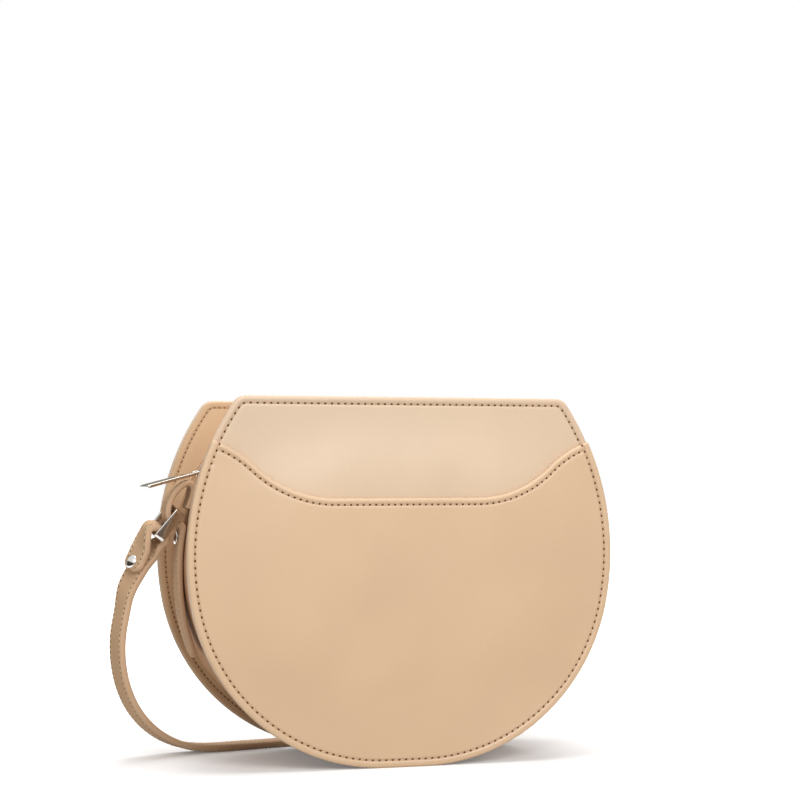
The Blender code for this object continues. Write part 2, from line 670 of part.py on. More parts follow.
def make_slider():
    """The slider: two plates round the teeth, the post that parts the rows, and the arch for the puller."""
    frame = slider_frame()
    middle, away, up = frame
    hinge = bpy.data.objects.new("slider_travel_centre", None)
    hinge.location = (-LOWER_CENTRE[0], MID_DEPTH, LOWER_CENTRE[1])
    bpy.context.scene.collection.objects.link(hinge)
    half = SLIDER_LENGTH / 2
    wide = SLIDER_WIDTH / 2
    tail = SLIDER_TAIL_WIDTH / 2
    plan = [(-half, -wide), (0.0, -wide), (half, -tail), (half, tail), (0.0, wide), (-half, wide)]
    inside = TOOTH_THICKNESS / 2 + SLIDER_ROOM
    outside = inside + SLIDER_PLATE
    slider = add_object("zip_slider", block("zip_slider", frame, plan, inside, outside), NICKEL, hinge)
    slider.matrix_parent_inverse = Matrix.Translation(-hinge.location)
    below = add_object("slider_below", block("slider_below", frame, plan, -outside, -inside), NICKEL)
    mouth = -half + SLIDER_EDGE_ROUND
    post_plan = [
        (mouth, -SLIDER_POST_WIDTH / 2),
        (mouth + SLIDER_POST_LENGTH, 0.0),
        (mouth, SLIDER_POST_WIDTH / 2),
    ]
    middle_of_plate = inside + SLIDER_PLATE / 2
    post_mesh = block("slider_post", frame, post_plan, -middle_of_plate, middle_of_plate)
    post = add_object("slider_post", post_mesh, NICKEL)
    reach = ARCH_LENGTH / 2
    top = outside + ARCH_ROOM + ARCH_WALL
    shoulder = ARCH_WALL
    profile = [
        (-reach, middle_of_plate),
        (-reach + ARCH_WALL, middle_of_plate),
        (-reach + ARCH_WALL, outside + ARCH_ROOM - shoulder / 2),
        (-reach + ARCH_WALL + shoulder / 2, outside + ARCH_ROOM),
        (reach - ARCH_WALL - shoulder / 2, outside + ARCH_ROOM),
        (reach - ARCH_WALL, outside + ARCH_ROOM - shoulder / 2),
        (reach - ARCH_WALL, middle_of_plate),
        (reach, middle_of_plate),
        (reach, top - shoulder),
        (reach - shoulder, top),
        (-reach + shoulder, top),
        (-reach, top - shoulder),
    ]
    sides = (-ARCH_WIDTH / 2, ARCH_WIDTH / 2)
    rings = [[middle + up * a + away * b + Vector((0, side, 0)) for a, b in profile] for side in sides]
    arch = add_object("slider_arch", loft("slider_arch", rings), NICKEL)
    cut_with(slider, [post, below, arch], "UNION")


def puller_frame():
    """The puller's pivot, the way it points, its hinge axis and the way its face looks."""
    middle, away, _ = slider_frame()
    height = TOOTH_THICKNESS / 2 + SLIDER_ROOM + SLIDER_PLATE + ARCH_ROOM * ARCH_SEAT_SHARE
    point = Vector((
        -math.cos(PULLER_DROP) * math.cos(PULLER_YAW),
        -math.cos(PULLER_DROP) * math.sin(PULLER_YAW),
        -math.sin(PULLER_DROP),
    ))
    axis = Vector((math.sin(PULLER_YAW), -math.cos(PULLER_YAW), 0.0))
    aside = math.tan(PULLER_YAW) * ARCH_ROOM * (1 - ARCH_SEAT_SHARE)
    pivot = middle + away * height + Vector((0.0, aside, 0.0))
    return pivot, point, axis, point.cross(axis)


def make_puller():
    """The puller: a tapered plate whose eye hooks under the slider's arch."""
    pivot, point, axis, face = puller_frame()
    hinge = bpy.data.objects.new("puller_pivot", None)
    hinge.location = pivot
    hinge.rotation_mode = "QUATERNION"
    hinge.rotation_quaternion = Matrix((point, axis, face)).transposed().to_quaternion()
    bpy.context.scene.collection.objects.link(hinge)
    tail = -PULLER_BAR / 2
    eye = PULLER_EYE_WIDTH / 2
    end = PULLER_END_WIDTH / 2
    tip = PULLER_TIP_ROUND
    shoulder = PULLER_WINDOW_LENGTH + PULLER_BAR
    plan = [
        (tail, -eye + tip),
        (tail + tip, -eye),
        (shoulder, -eye),
        (PULLER_LENGTH - tip, -end),
        (PULLER_LENGTH, -end + tip),
        (PULLER_LENGTH, end - tip),
        (PULLER_LENGTH - tip, end),
        (shoulder, eye),
        (tail + tip, eye),
        (tail, eye - tip),
    ]
    half = PULLER_THICKNESS / 2
    rings = [[(a, b, level) for a, b in plan] for level in (-half, half)]
    puller = add_object("zip_puller", loft("zip_puller", rings), NICKEL, hinge)
    near = PULLER_BAR / 2
    far = near + PULLER_WINDOW_LENGTH
    wide = PULLER_WINDOW_WIDTH / 2
    window = [(near, -wide), (far, -wide), (far, wide), (near, wide)]
    rings = [[(a, b, level) for a, b in window] for level in (-PULLER_THICKNESS, PULLER_THICKNESS)]
    cut_with(puller, [add_object("puller_window", loft("puller_window", rings), NICKEL, hinge)])


# Anchor tabs, rings and rivets
def smooth_line(points, steps):
    """A smooth curve through points, with so many steps between each two."""
    points = np.asarray(points, float)
    padded = np.vstack([2 * points[0] - points[1], points, 2 * points[-1] - points[-2]])
    line = []
    for k in range(1, len(padded) - 2):
        before, a, b, after = padded[k - 1 : k + 3]
        for t in np.linspace(0, 1, steps, endpoint=False):
            line.append(
                ((2 * a) + (b - before) * t + (2 * before - 5 * a + 4 * b - after) * t**2
                 + (3 * a - before - 3 * b + after) * t**3) / 2
            )
    line.append(points[-1])
    return np.array(line)


def band(name, line, across, half_widths, thickness, lying=False):
    """A flat strap along a line: across points along its width at each of the line's points."""
    line = np.asarray(line, float)
    ahead = np.gradient(line, axis=0)
    ahead /= np.linalg.norm(ahead, axis=1, keepdims=True)
    across = np.asarray(across, float)
    across = across - ahead * (across * ahead).sum(axis=1, keepdims=True)
    across /= np.linalg.norm(across, axis=1, keepdims=True)
    normal = np.cross(ahead, across)
    width = across * np.asarray(half_widths, float)[:, None]
    rise = normal * thickness / 2
    corners = [line - width - rise, line + width - rise, line + width + rise, line - width + rise]
    rings = np.stack(corners, axis=1)
    # What would hang below the floor lies on it
    if lying:
        rings[:, :, 2] += np.maximum(FLOOR_LIFT - rings[:, :, 2].min(axis=1, keepdims=True), 0.0)
    return loft(name, rings)


def tapered(line, half, tip):
    """Half widths along a line that round off at its first point over the length tip."""
    walked = np.concatenate([[0.0], np.cumsum(np.linalg.norm(np.diff(line, axis=0), axis=1))])
    share = np.clip(walked / tip, 0.0, 1.0)
    return half * np.maximum(np.sqrt(1 - (1 - share) ** 2), TAB_LEATHER / TAB_WIDTH)


def tab_line(side):
    """The middle line of an anchor tab: up the gusset from its tip, round the loop and back to the gusset."""
    heights = TAB_TIP_HEIGHT + TAB_TIP_ROUND * np.array(TIP_SHARES)
    heights = np.concatenate([heights, np.linspace(heights[-1], LOOP_FOOT, TAB_STEPS + 1)[1:-1]])
    lower = [on_side(height, TAB_MIDDLE, side)[0] for height in heights]
    keys = []
    for reach, rise in LOOP_SHARES:
        point, _, _ = on_side(LOOP_FOOT + rise * LOOP_RISE, TAB_MIDDLE, side)
        keys.append(point + [side * reach * LOOP_REACH, 0.0])
    loop = smooth_line([lower[-1], *keys], LOOP_STEPS)[LOOP_STEPS:]
    return in_depth(np.vstack([lower, loop]), MID_DEPTH)


def rivet_frame(side):
    """Where an anchor rivet goes through the gusset's outer face, and the way out."""
    point, away, _ = on_side(TAB_RIVET_HEIGHT, GUSSET_MID, side)
    return Vector((point[0], MID_DEPTH, point[1])), Vector((away[0], 0.0, away[1]))


def rivet_hole(name, side):
    """A cutter for an anchor rivet's shank."""
    point, away = rivet_frame(side)
    long = TAB_LEATHER + GUSSET_LEATHER + FIT_GAP
    wide = RIVET_SHANK + FIT_GAP
    profile = [(-long, 0.0), (-long, wide), (long * 2, wide), (long * 2, 0.0)]
    return add_object(f"{name}_{'left' if side < 0 else 'right'}", turned(name, profile, point, away), NICKEL)


def rivet(name, point, away, under, over, parent=None):
    """A rivet with a domed head over the leather and a flat foot under it, through point along away."""
    profile = [
        (-under - FIT_GAP - RIVET_FOOT_THICKNESS, 0.0),
        (-under - FIT_GAP - RIVET_FOOT_THICKNESS, RIVET_FOOT),
        (-under - FIT_GAP, RIVET_FOOT),
        (-under - FIT_GAP, RIVET_SHANK),
        (over + FIT_GAP, RIVET_SHANK),
        (over + FIT_GAP, RIVET_HEAD),
        *[(over + FIT_GAP + RIVET_DOME * rise, RIVET_HEAD * reach) for rise, reach in DOME_SHARES],
        (over + FIT_GAP + RIVET_DOME, 0.0),
    ]
    return add_object(name, turned(name, profile, point, away), NICKEL, parent)


def make_anchor(side, word):
    """One anchor tab with its loop, and its rivet."""
    line = tab_line(side)
    across = np.tile([0.0, 1.0, 0.0], (len(line), 1))
    mesh = band(f"anchor_tab_{word}", line, across, tapered(line, TAB_WIDTH / 2, TAB_TIP_ROUND), TAB_LEATHER)
    tab = add_object(f"anchor_tab_{word}", mesh, STRAP_TAN)
    cut_with(tab, [rivet_hole("tab_hole", side)])
    point, away = rivet_frame(side)
    rivet(f"anchor_rivet_{word}", point, away, GUSSET_LEATHER + RIVET_SEAT, TAB_LEATHER + TAB_SEAT)


def ring_frame(side, drop, tilt):
    """A ring's pivot, its bar's direction, the way its sides run and the way its face looks."""
    point, _, _ = on_side(RING_PIVOT_HEIGHT, GUSSET_MID, side)
    pivot = Vector((point[0] + side * RING_PIVOT_OFF_GUSSET, MID_DEPTH, point[1]))
    bar = Vector((0.0, math.cos(tilt), math.sin(tilt)))
    run = Vector((side * math.cos(drop), 0.0, -math.sin(drop)))
    run = (run - bar * run.dot(bar)).normalized()
    return pivot, bar, run, run.cross(bar)


def make_ring(side, word, drop, tilt, fold_drop):
    """One ring on its pivot, with the folded strap end on its outer bar and the strap's rivet."""
    pivot, bar, run, face = ring_frame(side, drop, tilt)
    hinge = bpy.data.objects.new(f"ring_{word}_pivot", None)
    hinge.location = pivot
    hinge.rotation_mode = "QUATERNION"
    hinge.rotation_quaternion = Matrix((run, bar, face)).transposed().to_quaternion()
    bpy.context.scene.collection.objects.link(hinge)
    far = RING_LENGTH - RING_METAL
    half = (RING_SPAN - RING_METAL) / 2
    corners = (((far, half), 0), ((0.0, half), 1), ((0.0, -half), 2), ((far, -half), 3))
    path = []
    for (x, y), quarter in corners:
        inward = np.array([-1 if x > 0 else 1, -1 if y > 0 else 1]) * RING_CORNER
        turns = np.radians(np.linspace(0, 90, RING_CORNER_STEPS) + 90 * quarter)
        bend = np.stack([np.cos(turns), np.sin(turns)], axis=1)
        path.extend(np.array([x, y]) + inward + RING_CORNER * bend)
    path = np.array(path)
    # Each corner's section points straight away from the ring's middle line
    ahead = np.roll(path, -1, axis=0) - np.roll(path, 1, axis=0)
    ahead /= np.linalg.norm(ahead, axis=1, keepdims=True)
    out = np.stack([ahead[:, 1], -ahead[:, 0]], axis=1) * RING_METAL / 2
    band_half = RING_BAND / 2
    rings = np.stack([
        np.insert(path - out, 2, -band_half, axis=1),
        np.insert(path + out, 2, -band_half, axis=1),
        np.insert(path + out, 2, band_half, axis=1),
        np.insert(path - out, 2, band_half, axis=1),
    ], axis=1)
    ring = add_object(f"ring_{word}", loft(f"ring_{word}", rings, closed=True), NICKEL, hinge)
    ring.data.set_sharp_from_angle(angle=RING_SHARP_ANGLE)
    make_strap_end(side, word, hinge, fold_drop)


def fold_frame(side, hinge, fold_drop):
    """The folded end in the ring's frame: the bar's middle, and the strap's turn from the ring's run."""
    hanging = Vector((side * math.cos(fold_drop), 0.0, -math.sin(fold_drop)))
    down = hinge.rotation_quaternion.inverted() @ hanging
    return np.array([RING_LENGTH - RING_METAL, 0.0, 0.0]), math.atan2(down.z, down.x)


def from_bar(bar, along, away, turn):
    """A point of the fold, along the strap and away from its middle plane, in the ring's frame."""
    ahead = np.array([math.cos(turn), 0.0, math.sin(turn)])
    out = np.array([-math.sin(turn), 0.0, math.cos(turn)])
    return bar + along * ahead + away * out


def make_strap_end(side, word, hinge, fold_drop):
    """The strap's end, folded round the ring's outer bar and riveted to itself."""
    bar, turn = fold_frame(side, hinge, fold_drop)
    gap = (STRAP_THICKNESS + FIT_GAP) / 2
    # The fold wraps the bar's flat section closely, then its two layers close below it
    deep = RING_METAL / 2 + FOLD_ROOM + STRAP_THICKNESS / 2
    wide = RING_BAND / 2 + FOLD_ROOM + STRAP_THICKNESS / 2
    bends = np.linspace(0, math.pi / 2, FOLD_STEPS + 1)
    corner = [(-deep * math.sin(bend), wide - deep + deep * math.cos(bend)) for bend in bends]
    start = FOLD_LENGTH - FOLD_TIP_ROUND * np.array(TIP_SHARES)
    flap = [(along, gap) for along in start]
    throat = [(FOLD_THROAT * along, gap + (wide - gap) * opening) for along, opening in THROAT_SHARES]
    outer = throat + corner
    inner = [(along, -away) for along, away in outer[::-1]]
    main = [(FOLD_LENGTH, -gap), (FOLD_LENGTH + FOLD_TAIL, -gap)]
    plan = np.array(flap + outer + inner + main) * [1, side]
    turns = turn * np.clip(plan[:, 0] / FOLD_THROAT, 0.0, 1.0)
    line = np.array([from_bar(bar, *place, bend) for place, bend in zip(plan, turns)])
    across = np.tile([0.0, 1.0, 0.0], (len(line), 1))
    half = tapered(line, STRAP_WIDTH / 2, FOLD_TIP_ROUND)
    name = f"strap_end_{word}"
    end = add_object(name, band(name, line, across, half, STRAP_THICKNESS), STRAP_TAN, hinge)
    point = from_bar(bar, FOLD_LENGTH * STRAP_RIVET_SHARE, 0.0, turn)
    out = from_bar(np.zeros(3), 0.0, side, turn)
    under = gap + STRAP_THICKNESS / 2
    hole = RIVET_SHANK + FIT_GAP
    profile = [(-2 * under, 0.0), (-2 * under, hole), (2 * under, hole), (2 * under, 0.0)]
    cut_with(end, [add_object(f"end_hole_{word}", turned("end_hole", profile, point, out), NICKEL, hinge)])
    rivet(f"strap_rivet_{word}", point, out, under, under, hinge)


# Shoulder strap
def strap_lead(word, side, fold_drop):
    """Where the strap leaves its folded end, and the way it goes on from there."""
    hinge = bpy.data.objects[f"ring_{word}_pivot"]
    bar, turn = fold_frame(side, hinge, fold_drop)
    gap = (STRAP_THICKNESS + FIT_GAP) / 2
    place = Matrix.LocRotScale(hinge.location, hinge.rotation_quaternion, None)
    start = place @ Vector(from_bar(bar, FOLD_LENGTH + FOLD_TAIL + FIT_GAP, -side * gap, turn))
    after = place @ Vector(from_bar(bar, FOLD_LENGTH + FOLD_TAIL + STRAP_STEP, -side * gap, turn))
    across = place.to_quaternion() @ Vector((0.0, 1.0, 0.0))
    return start, after, across


def make_strap(word, side, fold_drop, route):
    """One half of the strap, from its folded end to where the halves meet behind the bag."""
    start, after, across = strap_lead(word, side, fold_drop)
    points = np.array([start, after, *[np.multiply(place, BAG_HEIGHT) for place, _ in route]], float)
    widths = np.array([across, across, *[way for _, way in route]], float)
    dense = smooth_line(np.hstack([points, widths]), STRAP_CURVE_STEPS)
    walked = np.concatenate([[0.0], np.cumsum(np.linalg.norm(np.diff(dense[:, :3], axis=0), axis=1))])
    last = walked[-1] - FIT_GAP / 2
    places = np.linspace(0.0, last, round(last / STRAP_STEP) + 1)
    rows = np.stack([np.interp(places, walked, dense[:, k]) for k in range(6)], axis=1)
    half = np.full(len(rows), STRAP_WIDTH / 2)
    name = f"strap_{word}"
    add_object(name, band(name, rows[:, :3], rows[:, 3:], half, STRAP_THICKNESS, lying=True), STRAP_TAN)


make_panels()
make_pocket()
make_gusset()
make_zip_facings()
make_linings()
make_zip_tapes()
make_zip_teeth()
make_zip_stop()
make_slider()
make_puller()
for side, word in ((LEFT, "left"), (RIGHT, "right")):
    make_anchor(side, word)
make_ring(LEFT, "left", LEFT_RING_DROP, LEFT_RING_TILT, LEFT_FOLD_DROP)
make_ring(RIGHT, "right", RIGHT_RING_DROP, RIGHT_RING_TILT, RIGHT_FOLD_DROP)
make_strap("left", LEFT, LEFT_FOLD_DROP, STRAP_LEFT_SHARES)
make_strap("right", RIGHT, RIGHT_FOLD_DROP, STRAP_RIGHT_SHARES)
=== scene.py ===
import math

import bmesh
import bpy
import numpy as np
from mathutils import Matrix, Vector


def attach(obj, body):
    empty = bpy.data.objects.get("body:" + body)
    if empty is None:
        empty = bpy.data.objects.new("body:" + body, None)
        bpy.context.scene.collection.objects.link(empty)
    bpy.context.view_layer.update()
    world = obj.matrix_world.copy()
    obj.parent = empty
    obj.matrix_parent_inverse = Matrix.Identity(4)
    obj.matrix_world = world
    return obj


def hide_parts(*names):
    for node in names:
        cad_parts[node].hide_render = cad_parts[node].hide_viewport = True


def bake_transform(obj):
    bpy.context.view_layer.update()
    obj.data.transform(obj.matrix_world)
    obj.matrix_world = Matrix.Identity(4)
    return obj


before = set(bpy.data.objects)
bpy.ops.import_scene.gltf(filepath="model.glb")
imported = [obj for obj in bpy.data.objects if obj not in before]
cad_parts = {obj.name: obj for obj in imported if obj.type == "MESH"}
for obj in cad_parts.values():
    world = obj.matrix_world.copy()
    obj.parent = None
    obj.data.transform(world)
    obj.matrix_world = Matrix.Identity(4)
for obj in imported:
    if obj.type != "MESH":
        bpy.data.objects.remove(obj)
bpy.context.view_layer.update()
scene = bpy.context.scene
scene.view_settings.view_transform = "Standard"


# The table and the room.
# The bag stands on a matt white table in a white room. A broad soft lamp hangs in front, and there are
# weaker ones to the left, above and behind. Cards that only gloss sees give the polished metal its dark bands.
class Wire:
    """An output of a material's node. Arithmetic on it, with numbers on either side, adds the Math nodes."""

    def __init__(self, finish, socket):
        self.finish = finish
        self.socket = socket

    def __add__(self, other):
        return self.finish.math("ADD", self, other)

    def __sub__(self, other):
        return self.finish.math("SUBTRACT", self, other)

    def __rsub__(self, other):
        return self.finish.math("SUBTRACT", other, self)

    def __mul__(self, other):
        return self.finish.math("MULTIPLY", self, other)

    def __abs__(self):
        return self.finish.math("ABSOLUTE", self)

    __radd__ = __add__
    __rmul__ = __mul__

    def smooth(self, low, high):
        """Eases from 0 where the value is low to 1 where it is high."""
        settings = {"interpolation_type": "SMOOTHSTEP"}
        values = {"Value": self, "From Min": low, "From Max": high}
        return self.finish.add("ShaderNodeMapRange", settings, values)


class Finish:
    """A material in the making, or the room's own light, with one method that adds any node."""

    def __init__(self, name, kept_in=bpy.data.materials):
        self.material = kept_in.new(name)
        self.material.use_nodes = True
        self.nodes = self.material.node_tree.nodes
        self.shader = self.nodes.get("Principled BSDF")

    def add(self, kind, settings=None, values=None, output=0):
        """A node of this kind: its settings are made first, then its sockets get their values or links."""
        node = self.nodes.new(kind)
        for name, value in (settings or {}).items():
            setattr(node, name, value)
        self.feed(node, values or {})
        return Wire(self, node.outputs[output])

    def feed(self, node, values):
        for name, value in values.items():
            if isinstance(value, Wire):
                self.material.node_tree.links.new(value.socket, node.inputs[name])
            else:
                node.inputs[name].default_value = value

    def math(self, operation, *terms):
        """A sum, product or other operation on wires and numbers."""
        return self.add("ShaderNodeMath", {"operation": operation}, dict(enumerate(terms)))

    def mix(self, share, first, second):
        """From the first colour to the second by this share."""
        return self.add("ShaderNodeMix", {"data_type": "RGBA"}, {0: share, 6: first, 7: second}, output=2)

    def place(self):
        """Where a point lies in its object's own frame, in metres."""
        return self.add("ShaderNodeTexCoord", output="Object")

    def part(self, vector, number):
        """One of a vector's three numbers."""
        return self.add("ShaderNodeSeparateXYZ", None, {0: vector}, output=number)

    def noise(self, place, scale, detail=2.0):
        """Soft random values about one half, with so many waves to the metre."""
        return self.add("ShaderNodeTexNoise", None, {"Vector": place, "Scale": scale, "Detail": detail})

    def bump(self, height, strength, distance):
        """The way a surface looks when this height, times the distance, stands on it."""
        return self.add("ShaderNodeBump", None, {"Strength": strength, "Distance": distance, "Height": height})

    def looked_at(self):
        """1 for rays from the camera, from a gloss or through something clear, and 0 for all others."""
        names = ("Is Camera Ray", "Is Glossy Ray", "Is Transmission Ray")
        camera_ray, glossy_ray, clear_ray = (self.add("ShaderNodeLightPath", output=name) for name in names)
        return (camera_ray + glossy_ray + clear_ray).smooth(0.0, 1.0)


def tone(red, green, blue):
    """A colour seen on a screen, from 0 to 255 each, as the light that it stands for."""
    shares = np.array([red, green, blue]) / 255
    return (*((shares + 0.055) / 1.055) ** 2.4, 1.0)


def shaded(colour, share):
    """The same colour with this share of its light."""
    return (*(min(1.0, channel * share) for channel in colour[:3]), 1.0)


def sheet_of(name, corners, finish):
    """A flat sheet through four corners."""
    mesh = bpy.data.meshes.new(name)
    mesh.from_pydata(corners, [], [tuple(range(len(corners)))])
    mesh.materials.append(finish.material)
    sheet = bpy.data.objects.new(name, mesh)
    scene.collection.objects.link(sheet)
    return sheet


TABLE_HALF = 6.0
SHADE_WITHIN = 0.14
SHADE_ENDS = 0.55
SHADE_LEFT = 0.14
table_white = Finish("table white")
looked_at = table_white.looked_at()
spot = table_white.place()
off = table_white.add("ShaderNodeVectorMath", {"operation": "LENGTH"}, {0: spot}, output="Value")
grain = table_white.noise(spot, 3.0)
shown = table_white.mix(grain, tone(246, 246, 246), tone(248, 248, 248))
table_white.feed(table_white.shader, {
    "Base Color": table_white.mix(looked_at, tone(196, 194, 190), shown),
    "Roughness": 0.9,
    "Specular IOR Level": 0.0,
})
# Where the table is looked at, it glows to plain white away from the bag and keeps its shadow near it
matt = Wire(table_white, table_white.shader.outputs[0])
white = table_white.add("ShaderNodeEmission", None, {"Color": (1, 1, 1, 1), "Strength": 1.0})
glow_share = looked_at * (off.smooth(SHADE_WITHIN, SHADE_ENDS) * (1 - SHADE_LEFT) + SHADE_LEFT)
glow = table_white.add("ShaderNodeMixShader", None, {0: glow_share, 2: white})
table_white.feed(table_white.nodes["Material Output"], {
    "Surface": table_white.add("ShaderNodeAddShader", None, {0: matt, 1: glow}),
})
sheet_of("table_top", [
    (-TABLE_HALF, -TABLE_HALF, 0), (TABLE_HALF, -TABLE_HALF, 0), (TABLE_HALF, TABLE_HALF, 0),
    (-TABLE_HALF, TABLE_HALF, 0),
], table_white)

ROOM_LIGHT = 0.28
ROOM_LOOK = 1.0
room = Finish("white room", bpy.data.worlds)
scene.world = room.material
dim, bright = (
    room.add("ShaderNodeBackground", None, {"Color": (1, 1, 1, 1), "Strength": strength})
    for strength in (ROOM_LIGHT, ROOM_LOOK)
)
room.feed(room.nodes["World Output"], {
    "Surface": room.add("ShaderNodeMixShader", None, {0: room.looked_at(), 1: dim, 2: bright}),
})

AIM = Vector((0.0, 0.03, 0.08))
for name, place, sizes, power in (
    ("key", (0.06, -1.40, 0.86), (0.90, 0.95), 16.0),
    ("left", (-1.35, -0.60, 0.90), (1.0, 1.0), 2.4),
    ("top", (0.05, 0.00, 1.5), (1.0, 1.0), 15.0),
    ("back", (0.45, 1.55, 0.95), (1.0, 1.0), 9.0),
):
    lamp = bpy.data.lights.new(name, "AREA")
    lamp.energy = power
    lamp.shape = "RECTANGLE"
    lamp.size, lamp.size_y = sizes
    holder = bpy.data.objects.new(name, lamp)
    holder.location = place
    holder.rotation_euler = (AIM - Vector(place)).to_track_quat("-Z", "Y").to_euler()
    scene.collection.objects.link(holder)

# A brown card lies before the bag, and brown and pale ones stand round it. Only gloss sees them, and they give
# the polish its dark and middle bands
CARD_BROWN = tone(78, 54, 36)
CARD_DARK = tone(60, 46, 36)
CARD_PALE = tone(150, 140, 126)
CARDS = (
    ("card_before", CARD_BROWN,
     ((-0.75, -1.50, 0.002), (0.90, -1.50, 0.002), (0.90, -0.12, 0.002), (-0.75, -0.12, 0.002))),
    ("card_behind", CARD_PALE,
     ((-0.75, 0.95, 0.02), (0.45, 0.95, 0.02), (0.45, 0.95, 0.80), (-0.75, 0.95, 0.80))),
    ("card_left", CARD_DARK,
     ((-0.85, 0.80, 0.02), (-0.85, 0.80, 0.42), (-0.85, -0.70, 0.42), (-0.85, -0.70, 0.02))),
    ("card_right", CARD_PALE,
     ((1.10, -1.30, 0.02), (1.10, -1.30, 0.50), (1.10, -0.20, 0.50), (1.10, -0.20, 0.02))),
)
for name, colour, corners in CARDS:
    card_finish = Finish(name)
    blotch = card_finish.noise(card_finish.place(), 5.0)
    card_colour = card_finish.mix(blotch, shaded(colour, 0.85), colour)
    card_finish.feed(card_finish.shader, {"Base Color": card_colour, "Roughness": 0.9})
    card = sheet_of(name, corners, card_finish)
    card.visible_camera = False
    card.visible_diffuse = False
    card.visible_shadow = False

CAMERA_PLACE = (-0.2875, -0.9257, 0.1424)
CAMERA_WAY = Vector((0.2944, 0.955, 0.0372))
LENS_MILLIMETRES = 89.006
SENSOR_MILLIMETRES = 36.0
lens = bpy.data.cameras.new("camera")
lens.lens = LENS_MILLIMETRES
lens.sensor_width = SENSOR_MILLIMETRES
camera = bpy.data.objects.new("camera", lens)
camera.location = CAMERA_PLACE
camera.rotation_euler = CAMERA_WAY.to_track_quat("-Z", "Y").to_euler()
scene.collection.objects.link(camera)
scene.camera = camera


# The front panel.
# A half moon of tan leather, turned in at its rim and sewn all round. It has a short flat foot, two arcs up
# each side, a small round corner and a flat top, and it swells a little in its middle.
BAG_HEIGHT = 0.180
BAG_DEPTH = 0.080
FOOT_HALF = 0.010
LOWER_RADIUS = 0.0975
LOWER_TURN = math.radians(80)
UPPER_RADIUS = 0.131
TOP_CORNER = 0.008
PANEL_LEATHER = 0.0024
LOWER_CENTRE = np.array([FOOT_HALF, LOWER_RADIUS])
LOWER_END = np.array([math.sin(LOWER_TURN), -math.cos(LOWER_TURN)])
UPPER_CENTRE = LOWER_CENTRE + (LOWER_RADIUS - UPPER_RADIUS) * LOWER_END
FRONT_FACE = -PANEL_LEATHER / 2
BACK_FACE = FRONT_FACE + BAG_DEPTH
MID_DEPTH = BAG_DEPTH / 2 + FRONT_FACE
MILLI = 1000.0
FINE = 0.0004

STITCH_PITCH = 0.00315
STITCH_INSET = 0.0037
PANEL_STITCHES = 192
STITCH_COLUMNS = 6
GROOVE_DEEP = 0.00034
GROOVE_WIDE = 0.0006
HOLE_DEEP = 0.0006
HOLE_LONG = 0.00042
HOLE_WIDE = 0.00034
RIM_PUFF = 0.00016
CROWN = 0.0026
CROWN_WAY = 0.047
AWAY_FROM_ROWS = (0.5, 99.0)
MERGE = 1e-6
SHARP_TURN = math.radians(42)


def arc(centre, radius, start, end, steps=None):
    """Points of a circle and the ways out of it. A turn runs from straight down round to the side and up, so
    the way out is (sin turn, -cos turn), and the point is the centre plus the radius times the way out."""
    count = steps or max(2, round(abs(end - start) * radius / FINE))
    turns = np.linspace(start, end, count + 1)
    away = np.stack([np.sin(turns), -np.cos(turns)], axis=1)
    return np.asarray(centre) + radius * away, away


def top_corner(inset, gusset=False):
    """The centre, radius and first turn of the top corner, whose circle touches the side's arc and the top."""
    around, reach = (LOWER_CENTRE, LOWER_RADIUS) if gusset else (UPPER_CENTRE, UPPER_RADIUS)
    radius = (BODY_CORNER if gusset else TOP_CORNER) - inset
    rise = BAG_HEIGHT - inset - radius - around[1]
    run = math.sqrt((reach - inset - radius) ** 2 - rise**2)
    return around + (run, rise), radius, math.atan2(run, -rise)


def unit(vectors):
    """Each vector divided by its own length."""
    return vectors / np.linalg.norm(vectors, axis=-1, keepdims=True)


def walk(points):
    """How far along a line each of its points lies: the running sum of the steps between them."""
    return np.concatenate([[0.0], np.cumsum(np.linalg.norm(np.diff(points, axis=0), axis=1))])


def read_at(places, walked, values):
    """The values, column by column, at these places along a walked line."""
    return np.stack([np.interp(places, walked, column) for column in values.T], axis=1)


def in_depth(points, depth):
    """(x, z) points as (x, y, z) ones, with y the given depth."""
    return np.stack([points[..., 0], np.broadcast_to(depth, points.shape[:-1]), points[..., 1]], axis=-1)


def outline_loop():
    """The outline once round, from the top's middle to the left and down: points, ways out and the count of
    stitches passed. Its steps are even along the row of stitches, which lies one inset within it."""
    centre, radius, turn = top_corner(0.0)
    low, low_away = arc(LOWER_CENTRE, LOWER_RADIUS, 0.0, LOWER_TURN)
    high, high_away = arc(UPPER_CENTRE, UPPER_RADIUS, LOWER_TURN, turn)
    corner, corner_away = arc(centre, radius, turn, math.pi)
    half = np.vstack([(0.0, 0.0), low, high[1:], corner[1:], (0.0, BAG_HEIGHT)])
    away = np.vstack([(0.0, -1.0), low_away, high_away[1:], corner_away[1:], (0.0, 1.0)])
    points = np.vstack([half[::-1] * [-1, 1], half[1:]])
    away = np.vstack([away[::-1] * [-1, 1], away[1:]])
    walked = walk(points - STITCH_INSET * away)
    places = np.linspace(0.0, walked[-1], PANEL_STITCHES * STITCH_COLUMNS + 1)
    count = np.linspace(0.0, PANEL_STITCHES, len(places))
    return read_at(places, walked, points), unit(read_at(places, walked, away)), count


def ease(values):
    """0 below 0, 1 above 1, and 3 v squared less 2 v cubed between."""
    values = np.clip(values, 0.0, 1.0)
    return values * values * (3 - 2 * values)


